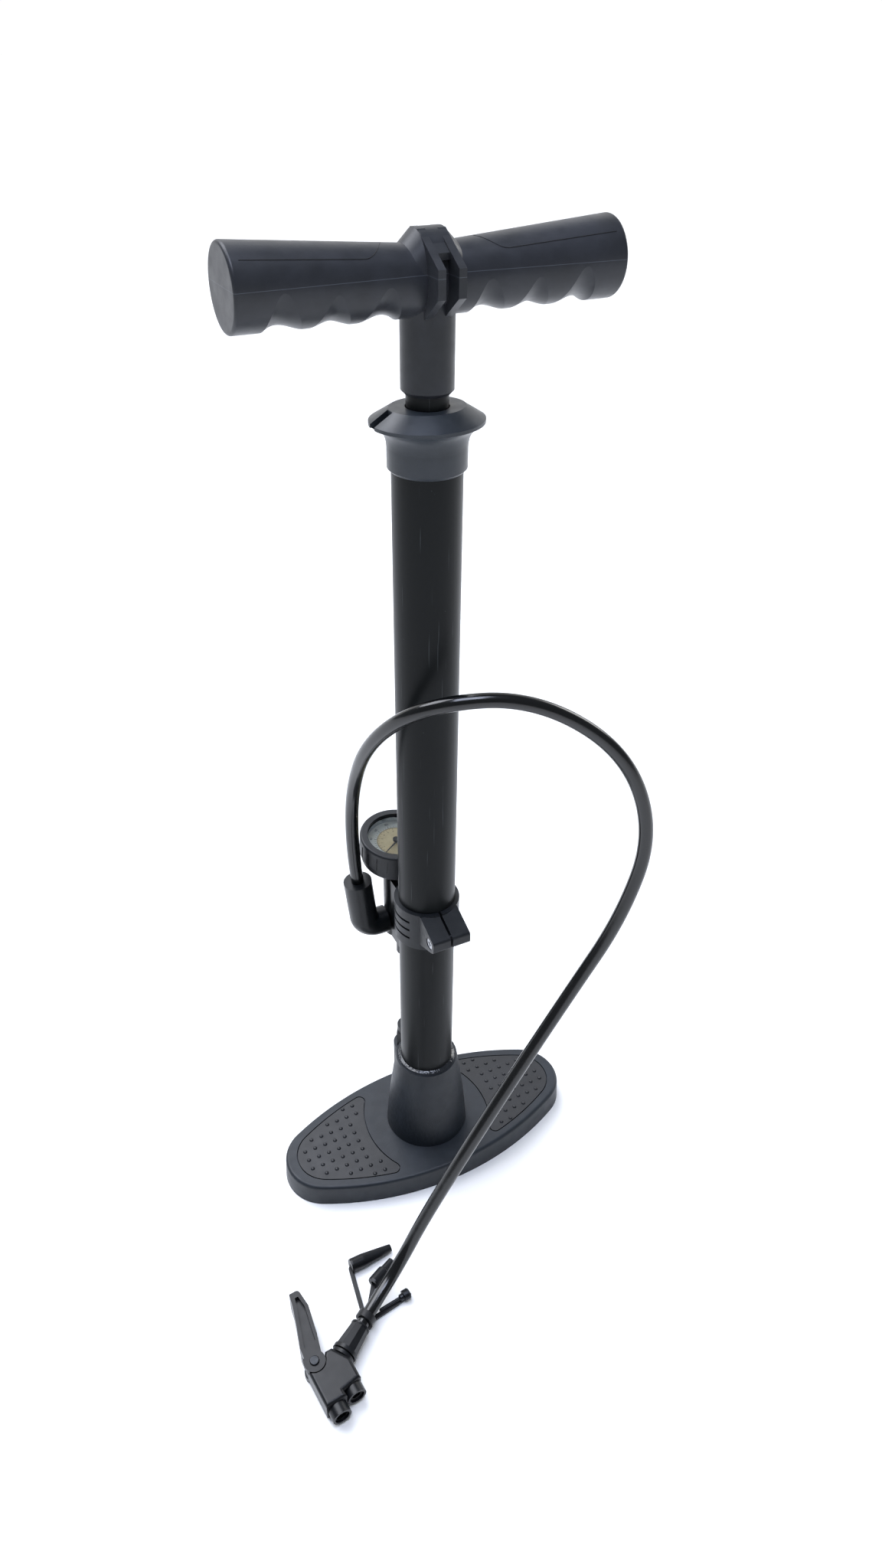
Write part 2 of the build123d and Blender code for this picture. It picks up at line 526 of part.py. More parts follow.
# ---------------------------------------------------------------- manifold behind the barrel
gauge_stem_foot = -CUP_DEPTH - 9
with BuildPart() as manifold:
    disc(MANIFOLD_RADIUS, MANIFOLD_FOOT_Z, MANIFOLD_TOP_Z, place=(0, MANIFOLD_Y))
    with BuildSketch(Plane.XY.offset(MANIFOLD_FOOT_Z)):
        with Locations((0, (BARREL_RADIUS + MANIFOLD_Y) / 2)):
            Rectangle(2 * MANIFOLD_ARM_HALF_WIDTH, MANIFOLD_Y - BARREL_RADIUS)
    extrude(amount=MANIFOLD_TOP_Z - MANIFOLD_FOOT_Z)
    disc(BARREL_RADIUS + CLAMP_WALL + FIT, MANIFOLD_FOOT_Z - 1, MANIFOLD_TOP_Z + 1, mode=Mode.SUBTRACT)
    disc(PIPE_RADIUS + FIT, MANIFOLD_FOOT_Z - 1, MANIFOLD_FOOT_Z + 6, place=(0, PIPE_Y), mode=Mode.SUBTRACT)
    disc(PIPE_RADIUS - PIPE_WALL, MANIFOLD_FOOT_Z, ELBOW_Z, place=(0, PIPE_Y), mode=Mode.SUBTRACT)
    disc(PIPE_RADIUS - PIPE_WALL, ELBOW_Z - 4, MANIFOLD_TOP_Z - 10, place=(0, MANIFOLD_Y), mode=Mode.SUBTRACT)
    disc(PIPE_RADIUS - PIPE_WALL, -MANIFOLD_Y, -PIPE_Y, plane=Plane.XZ, place=(0, ELBOW_Z),
         mode=Mode.SUBTRACT)
    disc(PIPE_RADIUS - PIPE_WALL, -MANIFOLD_RADIUS - 1, 0, plane=Plane.YZ, place=(MANIFOLD_Y, ELBOW_Z),
         mode=Mode.SUBTRACT)
    disc(GAUGE_STEM_RADIUS + FIT, gauge_stem_foot, 0, plane=gauge_plane, mode=Mode.SUBTRACT)
save(manifold, "manifold")


# ---------------------------------------------------------------- pressure gauge
cup_top = -BEZEL_LIP - LENS_THICKNESS
ring_foot = cup_top - RING_HEIGHT
dial_foot = ring_foot - DIAL_THICKNESS
cup_rim_radius = BEZEL_BORE_RADIUS - FIT
bourdon_level = -BEZEL_HEIGHT - 1.5
stem_top = bourdon_level + 2.4
with BuildPart() as gauge_cup:
    with BuildSketch(gauge_plane.offset(-CUP_DEPTH)):
        Circle(CUP_NECK_RADIUS)
    with BuildSketch(gauge_plane.offset(-CUP_SIDE_DEPTH)):
        Circle(GAUGE_RADIUS - CUP_SIDE_SET_BACK)
    loft()
    disc(GAUGE_RADIUS - CUP_SIDE_SET_BACK, -CUP_SIDE_DEPTH, -BEZEL_HEIGHT, plane=gauge_plane)
    fillet(gauge_cup.edges().filter_by(lambda edge: abs(gauge_plane.to_local_coords(edge.center()).Z
                                                        + CUP_SIDE_DEPTH) < FIT), CUP_FILLET)
    disc(cup_rim_radius, -BEZEL_HEIGHT, ring_foot - DIAL_THICKNESS, plane=gauge_plane)
    disc(cup_rim_radius - CUP_WALL, -BEZEL_HEIGHT - 4, 0, plane=gauge_plane, mode=Mode.SUBTRACT)
    disc(CUP_NECK_RADIUS + 4, -CUP_DEPTH + 9, -BEZEL_HEIGHT - 3, plane=gauge_plane, mode=Mode.SUBTRACT)
    disc(GAUGE_STEM_RADIUS + FIT, -CUP_DEPTH - 1, 0, plane=gauge_plane, mode=Mode.SUBTRACT)
save(gauge_cup, "gauge_cup")

with BuildPart() as gauge_bezel:
    disc(GAUGE_RADIUS, -BEZEL_HEIGHT, 0, plane=gauge_plane)
    fillet(gauge_bezel.faces().sort_by(Axis.Z)[-1].edges(), 1.6)
    disc(GAUGE_WINDOW_RADIUS, -BEZEL_HEIGHT, 1, plane=gauge_plane, mode=Mode.SUBTRACT)
    disc(BEZEL_BORE_RADIUS, -BEZEL_HEIGHT, -BEZEL_LIP, plane=gauge_plane, mode=Mode.SUBTRACT)
    with BuildSketch(gauge_plane.offset(-BEZEL_HEIGHT)) as notches:
        with PolarLocations(GAUGE_RADIUS, BEZEL_NOTCHES):
            Rectangle(0.9, 1.6)
    extrude(notches.sketch, amount=BEZEL_HEIGHT - 4, mode=Mode.SUBTRACT)
save(gauge_bezel, "gauge_bezel")

with BuildPart() as gauge_lens:
    disc(BEZEL_BORE_RADIUS - FIT, cup_top, -BEZEL_LIP, plane=gauge_plane)
save(gauge_lens, "gauge_lens")

with BuildPart() as reflector_ring:
    ring(BEZEL_BORE_RADIUS - FIT, GAUGE_WINDOW_RADIUS - 0.2, ring_foot, cup_top, plane=gauge_plane)
save(reflector_ring, "reflector_ring")

with BuildPart() as dial_plate:
    ring(BEZEL_BORE_RADIUS - 2 * FIT - 0.3, ARBOR_RADIUS + 0.4, dial_foot, ring_foot, plane=gauge_plane)
save(dial_plate, "dial_plate")

needle_foot = ring_foot + 1.2
needle_plane = gauge_plane.rotated((0, 0, NEEDLE_REST_ANGLE))
with BuildPart() as gauge_needle:
    disc(2.2, needle_foot, needle_foot + 1.2, plane=gauge_plane)
    with BuildSketch(needle_plane.offset(needle_foot)):
        with BuildLine():
            Polyline((-NEEDLE_TAIL, -0.9), (0, -0.7), (NEEDLE_LENGTH, -0.15), (NEEDLE_LENGTH, 0.15), (0, 0.7),
                     (-NEEDLE_TAIL, 0.9), close=True)
        make_face()
    extrude(amount=NEEDLE_THICKNESS)
    disc(ARBOR_RADIUS, stem_top - 2, needle_foot, plane=gauge_plane)
    disc(ARBOR_RADIUS + 0.8, dial_foot - 4.2, dial_foot - 2.2, plane=gauge_plane)
save(gauge_needle, "gauge_needle")

# curved spring tube on its brass stem, which carries the arbor's lower bearing
bourdon_foot_plane = gauge_plane.rotated((0, 0, BOURDON_START)).offset(bourdon_level)
foot_near = GAUGE_BLOCK_RADIUS - 1.5
foot_far = BOURDON_RADIUS + 1.5
with BuildPart() as bourdon_tube:
    with BuildLine(gauge_plane.offset(bourdon_level)):
        spring_arc = CenterArc((0, 0), BOURDON_RADIUS, BOURDON_START, BOURDON_SWEEP)
    with BuildSketch(Plane(origin=spring_arc @ 0, z_dir=spring_arc % 0)) as spring_section:
        Circle(BOURDON_SECTION)
    sweep(spring_section.sketch, path=spring_arc)
    with BuildSketch(bourdon_foot_plane.offset(-BOURDON_SECTION)) as foot_block:
        with Locations(((foot_near + foot_far) / 2, 0)):
            Rectangle(foot_far - foot_near, 2 * BOURDON_FOOT_HALF_WIDTH)
    extrude(foot_block.sketch, amount=2 * BOURDON_SECTION)
save(bourdon_tube, "bourdon_tube")

with BuildPart() as gauge_stem:
    disc(GAUGE_STEM_RADIUS, gauge_stem_foot, -CUP_DEPTH + 9, plane=gauge_plane)
    disc(GAUGE_BLOCK_RADIUS, -CUP_DEPTH + 9, stem_top, plane=gauge_plane)
    disc(ARBOR_RADIUS + ROD_PLAY, stem_top - 2.5, 0, plane=gauge_plane, mode=Mode.SUBTRACT)
    disc(PORT_RADIUS - 1, gauge_stem_foot, -CUP_DEPTH + 7, plane=gauge_plane, mode=Mode.SUBTRACT)
    with BuildSketch(bourdon_foot_plane.offset(-BOURDON_SECTION - FIT)) as notch:
        with Locations((foot_near - FIT + GAUGE_BLOCK_RADIUS / 2, 0)):
            Rectangle(GAUGE_BLOCK_RADIUS, 2 * (BOURDON_FOOT_HALF_WIDTH + FIT))
    extrude(notch.sketch, amount=5, mode=Mode.SUBTRACT)
save(gauge_stem, "gauge_stem")

# ---------------------------------------------------------------- hose elbow and hose
with BuildPart() as hose_elbow:
    elbow_start = Vector(-MANIFOLD_RADIUS, MANIFOLD_Y, ELBOW_Z)
    with BuildLine():
        elbow_path = FilletPolyline(elbow_start, elbow_corner, hose_points[0], radius=ELBOW_BEND)
    with BuildSketch(Plane(origin=elbow_start, z_dir=(-1, 0, 0))) as elbow_section:
        Circle(ELBOW_RADIUS)
    sweep(elbow_section.sketch, path=elbow_path)
    disc(PORT_RADIUS, elbow_corner.X, -MANIFOLD_RADIUS, plane=Plane.YZ, place=(MANIFOLD_Y, ELBOW_Z),
         mode=Mode.SUBTRACT)
    disc(PORT_RADIUS, 0, (hose_points[0] - elbow_corner).length + 1,
         plane=Plane(origin=elbow_corner, z_dir=elbow_axis), mode=Mode.SUBTRACT)
    disc(MANIFOLD_RADIUS + FIT, MANIFOLD_FOOT_Z, MANIFOLD_TOP_Z, place=(0, MANIFOLD_Y), mode=Mode.SUBTRACT)
save(hose_elbow, "hose_elbow")

runs = [(end - start).length for start, end in zip(hose_points, hose_points[1:])]
turns = [(corner - before).get_angle(after - corner)
         for before, corner, after in zip(hose_points, hose_points[1:], hose_points[2:])]
hose_bends = [RUN_SHARE * min(pair) / tan(radians(turn / 2)) for pair, turn in zip(zip(runs, runs[1:]), turns)]
print("hose bend radii:", [round(bend, 1) for bend in hose_bends])
with BuildPart() as hose:
    with BuildLine():
        hose_path = FilletPolyline(*hose_points, radius=hose_bends)
    with BuildSketch(Plane(origin=hose_points[0], z_dir=elbow_axis)) as hose_section:
        Circle(HOSE_RADIUS)
    sweep(hose_section.sketch, path=hose_path)
print("hose length:", round(hose_path.length, 1), "volume ratio:",
      round(hose.part.volume / (hose_section.sketch.area * hose_path.length), 4))
save(hose, "hose")

# ---------------------------------------------------------------- chuck: body, nozzles and nut
nut_foot = hose_points[-1] - nut_axis * NUT_LENGTH
nut_foot_plane = Plane(origin=nut_foot, z_dir=nut_axis)
long_nozzle, short_nozzle = NOZZLE_X, NOZZLE_X + NOZZLE_PITCH
nozzle_plane = Plane(origin=chuck_plane.origin, x_dir=chuck_plane.x_dir, z_dir=-chuck_plane.y_dir)
nozzle_bore = NOZZLE_RADIUS - NOZZLE_WALL
grommet_radius = nozzle_bore - FIT
grommets = [("schrader", long_nozzle, LONG_NOZZLE_Y, SCHRADER_RADIUS),
            ("presta", short_nozzle, SHORT_NOZZLE_Y, PRESTA_RADIUS)]
with BuildPart() as chuck_body:
    with BuildSketch(chuck_plane.offset(-CHUCK_HALF_THICKNESS)) as plan:
        with BuildLine():
            Polyline(*CHUCK_OUTLINE, close=True)
        make_face()
    extrude(plan.sketch, amount=2 * CHUCK_HALF_THICKNESS)
    fillet(chuck_body.edges().filter_by(Plane.XY), CHUCK_FILLET)
    disc(YOKE_RADIUS - YOKE_GAP, -TONGUE_HALF_THICKNESS, TONGUE_HALF_THICKNESS, plane=chuck_plane)
    for kind, across_x, mouth_y, bore in grommets:
        disc(NOZZLE_RADIUS, 12, -mouth_y, plane=nozzle_plane, place=(across_x, 0))
    disc(NUT_NECK_RADIUS, -12, 0, plane=nut_foot_plane)
    disc(NUT_COLLAR_RADIUS, -NUT_COLLAR - NUT_GAP, -NUT_GAP, plane=nut_foot_plane)
    disc(YOKE_RADIUS + YOKE_GAP, TONGUE_HALF_THICKNESS, CHUCK_HALF_THICKNESS + 1, plane=chuck_plane,
         mode=Mode.SUBTRACT)
    disc(YOKE_RADIUS + YOKE_GAP, -CHUCK_HALF_THICKNESS - 1, -TONGUE_HALF_THICKNESS, plane=chuck_plane,
         mode=Mode.SUBTRACT)
    disc(LEVER_PIN_RADIUS + FIT, -CHUCK_HALF_THICKNESS - 1, CHUCK_HALF_THICKNESS + 1, plane=chuck_plane,
         mode=Mode.SUBTRACT)
    for kind, across_x, mouth_y, bore in grommets:
        disc(nozzle_bore, -mouth_y - GROMMET_SET_BACK - GROMMET_LENGTH, -mouth_y + 1, plane=nozzle_plane,
             place=(across_x, 0), mode=Mode.SUBTRACT)
        disc(bore, 12, -mouth_y, plane=nozzle_plane, place=(across_x, 0), mode=Mode.SUBTRACT)
    disc(PORT_RADIUS, -12, 1, plane=nut_foot_plane, mode=Mode.SUBTRACT)
save(chuck_body, "chuck_body")

for kind, across_x, mouth_y, bore in grommets:
    with BuildPart() as grommet:
        front = -mouth_y - GROMMET_SET_BACK
        ring(grommet_radius, bore, front - GROMMET_LENGTH, front, plane=nozzle_plane, place=(across_x, 0))
    save(grommet, f"{kind}_grommet")

with BuildPart() as hose_nut:
    with BuildSketch(nut_foot_plane) as nut_wide:
        RegularPolygon(NUT_FOOT_RADIUS, NUT_SIDES)
    with BuildSketch(nut_plane) as nut_narrow:
        RegularPolygon(NUT_TOP_RADIUS, NUT_SIDES)
    loft([nut_wide.sketch.face(), nut_narrow.sketch.face()])
    disc(NUT_FOOT_RADIUS + NUT_RING_SPREAD, 0, NUT_RING, plane=nut_foot_plane)
    disc(NUT_TOP_RADIUS + NUT_RING_SPREAD, NUT_LENGTH - NUT_LIP, NUT_LENGTH, plane=nut_foot_plane)
    disc(HOSE_RADIUS + FIT, 2, NUT_LENGTH + 1, plane=nut_foot_plane, mode=Mode.SUBTRACT)
    disc(BARB_RADIUS + FIT, -1, 3, plane=nut_foot_plane, mode=Mode.SUBTRACT)
save(hose_nut, "hose_nut")

with BuildPart() as hose_barb:
    ring(BARB_RADIUS, PORT_RADIUS - 0.6, FIT, NUT_LENGTH - 0.2, plane=nut_foot_plane)
    for step in (5, 9, 13, 17):
        ring(BARB_RADIUS + 0.7, PORT_RADIUS - 0.6, step, step + 1.6, plane=nut_foot_plane)
save(hose_barb, "hose_barb")

# ---------------------------------------------------------------- chuck: lever and its pin
with BuildPart() as chuck_lever:
    with BuildSketch(chuck_plane.offset(-CHUCK_HALF_THICKNESS)) as lever_plan:
        with BuildLine():
            Polyline(*LEVER_OUTLINE, close=True)
        make_face()
    extrude(lever_plan.sketch, amount=2 * CHUCK_HALF_THICKNESS)
    fillet(chuck_lever.edges().filter_by(Axis.Z).group_by(Axis.Y)[-1], LEVER_TIP_FILLET)
    disc(YOKE_RADIUS, -CHUCK_HALF_THICKNESS, CHUCK_HALF_THICKNESS, plane=chuck_plane)
    for low in (-CHUCK_HALF_THICKNESS, CHUCK_HALF_THICKNESS - LEVER_POCKET_DEPTH):
        with BuildSketch(chuck_plane.offset(low)) as pocket:
            with BuildLine():
                Polyline(*LEVER_POCKET, close=True)
            make_face()
        extrude(pocket.sketch, amount=LEVER_POCKET_DEPTH, mode=Mode.SUBTRACT)
    disc(YOKE_RADIUS + 2.4, -TONGUE_HALF_THICKNESS - 0.3, TONGUE_HALF_THICKNESS + 0.3, plane=chuck_plane,
         mode=Mode.SUBTRACT)
    disc(LEVER_PIN_RADIUS + ROD_PLAY, -CHUCK_HALF_THICKNESS - 1, CHUCK_HALF_THICKNESS + 1, plane=chuck_plane,
         mode=Mode.SUBTRACT)
save(chuck_lever, "chuck_lever")

with BuildPart() as lever_pin:
    disc(LEVER_PIN_RADIUS, -CHUCK_HALF_THICKNESS, CHUCK_HALF_THICKNESS, plane=chuck_plane)
    disc(LEVER_PIN_RADIUS, CHUCK_HALF_THICKNESS, CHUCK_HALF_THICKNESS + 0.6, plane=chuck_plane)
    disc(LEVER_PIN_HEAD_RADIUS, CHUCK_HALF_THICKNESS + 0.3, CHUCK_HALF_THICKNESS + 1.2, plane=chuck_plane)
    fillet(lever_pin.faces().sort_by(Axis.Z)[-1].edges(), 0.6)
save(lever_pin, "lever_pin")

# ---------------------------------------------------------------- adapters and the strap that holds them
def adapter(root, tip, sections, bore, name):
    """Turned piece from its root to its tip, given as (share of the length, radius) corners."""
    length = (tip - root).length
    with BuildPart() as blank:
        turned([(bore, 0), *[(radius, share * length) for share, radius in sections], (bore, length)])
    with BuildPart() as piece:
        add(Plane(origin=root, z_dir=tip - root) * blank.part)
    save(piece, name)
    return piece.part


cone_root, cone_tip = Vector(-100.8, -86, CONE_RADIUS + 0.5), Vector(-69.2, -84.4, 3.4)
presta_root, presta_tip = Vector(-91.5, -104.6, PRESTA_ADAPTER_RADIUS + 0.5), Vector(-72.6, -95.0, 3.6)
needle_root, needle_tip = Vector(-71.5, -121.6, NEEDLE_COLLAR_RADIUS + 0.4), Vector(-95.0, -124.0, 3.7)
adapters = [
    adapter(cone_root, cone_tip, [(0, 4.4), (0.04, CONE_RADIUS), (0.3, CONE_RADIUS), (0.94, 2.9), (1, 2.6)],
            1.2, "cone_adapter"),
    adapter(presta_root, presta_tip, [(0, 4.0), (0.05, PRESTA_ADAPTER_RADIUS), (0.55, PRESTA_ADAPTER_RADIUS),
                                      (0.6, 3.4), (1, 3.2)], 1.6, "presta_adapter"),
    adapter(needle_root, needle_tip, [(0, 3.2), (0.03, NEEDLE_COLLAR_RADIUS), (0.2, NEEDLE_COLLAR_RADIUS),
                                      (0.22, 2.4), (0.3, 2.2), (0.34, 1.15), (0.97, 1.05)], 0.4, "ball_needle")]

strap_root = hose_points[-1] + nut_axis * 6.5
with BuildPart() as adapter_strap:
    with BuildSketch(Plane(origin=strap_root - nut_axis * 2.5, z_dir=nut_axis)) as collar:
        Circle(HOSE_RADIUS + 2.0)
        Circle(HOSE_RADIUS + 0.3, mode=Mode.SUBTRACT)
    extrude(collar.sketch, amount=5)
    root = Vector(strap_root.X, strap_root.Y, STRAP_Z)
    for foot in (cone_root, presta_root, needle_root):
        run = Vector(foot.X, foot.Y, STRAP_Z) - root
        with BuildSketch(Plane(origin=root, x_dir=run.normalized(), z_dir=(0, 0, 1))) as arm:
            with Locations((run.length / 2, 0)):
                SlotCenterToCenter(run.length, STRAP_WIDTH)
        extrude(arm.sketch, amount=STRAP_THICKNESS)
    with BuildSketch(Plane.XY.offset(STRAP_Z)) as web:
        with Locations((strap_root.X, strap_root.Y)):
            Circle(4.5)
    extrude(web.sketch, amount=3.2)
    disc(HOSE_RADIUS + 0.3, -6, 12, plane=Plane(origin=strap_root, z_dir=nut_axis), mode=Mode.SUBTRACT)
    for held in adapters:
        add(held, mode=Mode.SUBTRACT)
    loose_ends = adapter_strap.solids().sort_by(SortBy.VOLUME)[:-1]
    for loose_end in loose_ends:
        add(loose_end, mode=Mode.SUBTRACT)
save(adapter_strap, "adapter_strap")

# ---------------------------------------------------------------- cap at the barrel's top
with BuildPart() as barrel_cap:
    disc(CAP_SKIRT_RADIUS, CAP_SKIRT_Z, CAP_FLARE_Z)
    chamfer(barrel_cap.faces().sort_by(Axis.Z)[0].edges(), 1.6)
    flare_faces = []
    for height_share, spread_share in CAP_FLARE:
        with BuildSketch(Plane.XY.offset(CAP_FLARE_Z + height_share * (CAP_FLANGE_Z - CAP_FLARE_Z))) as level:
            Ellipse(CAP_SKIRT_RADIUS + spread_share * (CAP_HALF_LENGTH - CAP_SKIRT_RADIUS) + FIT,
                    CAP_SKIRT_RADIUS + spread_share * (CAP_HALF_WIDTH - CAP_SKIRT_RADIUS) + FIT)
        flare_faces.append(level.sketch.face())
    loft(flare_faces)
    with BuildSketch(Plane.XY.offset(CAP_FLANGE_Z)) as flange:
        Ellipse(CAP_HALF_LENGTH, CAP_HALF_WIDTH)
    extrude(flange.sketch, amount=CAP_FLANGE_THICKNESS)
    with BuildSketch(Plane.XY.offset(CAP_FLANGE_Z + CAP_FLANGE_THICKNESS)) as slope_foot:
        Ellipse(CAP_HALF_LENGTH, CAP_HALF_WIDTH)
    with BuildSketch(Plane.XY.offset(CAP_TOP_Z)) as slope_top:
        Ellipse(CAP_HALF_LENGTH - CAP_SLOPE, CAP_HALF_WIDTH - CAP_SLOPE)
    loft([slope_foot.sketch.face(), slope_top.sketch.face()])
    disc(BARREL_RADIUS + FIT, CAP_SKIRT_Z - 1, BARREL_TOP_Z, mode=Mode.SUBTRACT)
    disc(ROD_RADIUS + 0.5, BARREL_TOP_Z - 1, CAP_TOP_Z + 1, mode=Mode.SUBTRACT)
    disc(BUSH_RADIUS + FIT, BARREL_TOP_Z - 1, BARREL_TOP_Z + BUSH_HEIGHT, mode=Mode.SUBTRACT)
    notch_foot_z = CAP_FLANGE_Z - 0.5
    for side in (-1, 1):
        with Locations((side * CAP_HALF_LENGTH, 0, notch_foot_z)):
            Box(2 * CAP_NOTCH_DEPTH, CAP_NOTCH_WIDTH, 20, align=(Align.CENTER, Align.CENTER, Align.MIN),
                mode=Mode.SUBTRACT)
save(barrel_cap, "barrel_cap")

with BuildPart() as rod_bush:
    ring(BUSH_RADIUS, ROD_RADIUS + ROD_PLAY, BARREL_TOP_Z, BARREL_TOP_Z + BUSH_HEIGHT)
    ring(BORE_RADIUS - FIT, ROD_RADIUS + ROD_PLAY, BARREL_TOP_Z - BUSH_SPIGOT, BARREL_TOP_Z)
save(rod_bush, "rod_bush")

with BuildPart() as top_buffer:
    ring(BORE_RADIUS - FIT, ROD_RADIUS + 0.5, BARREL_TOP_Z - BUSH_SPIGOT - BUFFER_THICKNESS,
         BARREL_TOP_Z - BUSH_SPIGOT)
save(top_buffer, "top_buffer")

# ---------------------------------------------------------------- piston and rod
rod_foot_z = PISTON_Z + PISTON_HEIGHT
piston_seal_z = PISTON_Z + PISTON_HEIGHT / 2
with BuildPart() as piston_head:
    disc(BORE_RADIUS - 0.3, PISTON_Z, rod_foot_z)
    disc(ROD_RADIUS - ROD_WALL - FIT, rod_foot_z, rod_foot_z + PISTON_SPIGOT)
    ring(BORE_RADIUS, BORE_RADIUS - 2 * SEAL_SECTION - 0.25, piston_seal_z - 1.3 * SEAL_SECTION,
         piston_seal_z + 1.3 * SEAL_SECTION, mode=Mode.SUBTRACT)
    disc(PISTON_SCREW_RADIUS, PISTON_Z, rod_foot_z + PISTON_SPIGOT, mode=Mode.SUBTRACT)
    disc(PISTON_SCREW_HEAD_RADIUS + 1, PISTON_Z, PISTON_Z + PISTON_RECESS, mode=Mode.SUBTRACT)
save(piston_head, "piston_head")
o_ring(BORE_RADIUS - FIT, piston_seal_z, "piston_seal")

with BuildPart() as piston_screw:
    disc(PISTON_SCREW_HEAD_RADIUS, PISTON_Z + 0.6, PISTON_Z + PISTON_RECESS - 1)
    disc(PISTON_SCREW_RADIUS - FIT, PISTON_Z + PISTON_RECESS - 1,
         rod_foot_z + PISTON_SPIGOT + PISTON_NUT_HEIGHT + 1)
    with BuildSketch(Plane.XY.offset(PISTON_Z + 0.6)) as hex_socket:
        RegularPolygon(2.8, 6)
    extrude(hex_socket.sketch, amount=2.2, mode=Mode.SUBTRACT)
save(piston_screw, "piston_screw")

with BuildPart() as piston_washer:
    ring(PISTON_SCREW_HEAD_RADIUS + 0.8, PISTON_SCREW_RADIUS + FIT, PISTON_Z + PISTON_RECESS - 1,
         PISTON_Z + PISTON_RECESS)
save(piston_washer, "piston_washer")

with BuildPart() as piston_nut:
    with BuildSketch(Plane.XY.offset(rod_foot_z + PISTON_SPIGOT)) as nut_face:
        RegularPolygon(2 * PISTON_SCREW_RADIUS - 0.2, 6)
        Circle(PISTON_SCREW_RADIUS, mode=Mode.SUBTRACT)
    extrude(nut_face.sketch, amount=PISTON_NUT_HEIGHT)
save(piston_nut, "piston_nut")

with BuildPart() as piston_rod:
    ring(ROD_RADIUS, ROD_RADIUS - ROD_WALL, rod_foot_z, ROD_TOP_Z)
save(piston_rod, "piston_rod")

with BuildPart() as rod_plug:
    disc(ROD_RADIUS - ROD_WALL - FIT, ROD_TOP_Z - ROD_PLUG_HEIGHT, ROD_TOP_Z)
    disc(HANDLE_SCREW_RADIUS, ROD_TOP_Z - ROD_PLUG_HEIGHT - 1, ROD_TOP_Z + 1, mode=Mode.SUBTRACT)
save(rod_plug, "rod_plug")

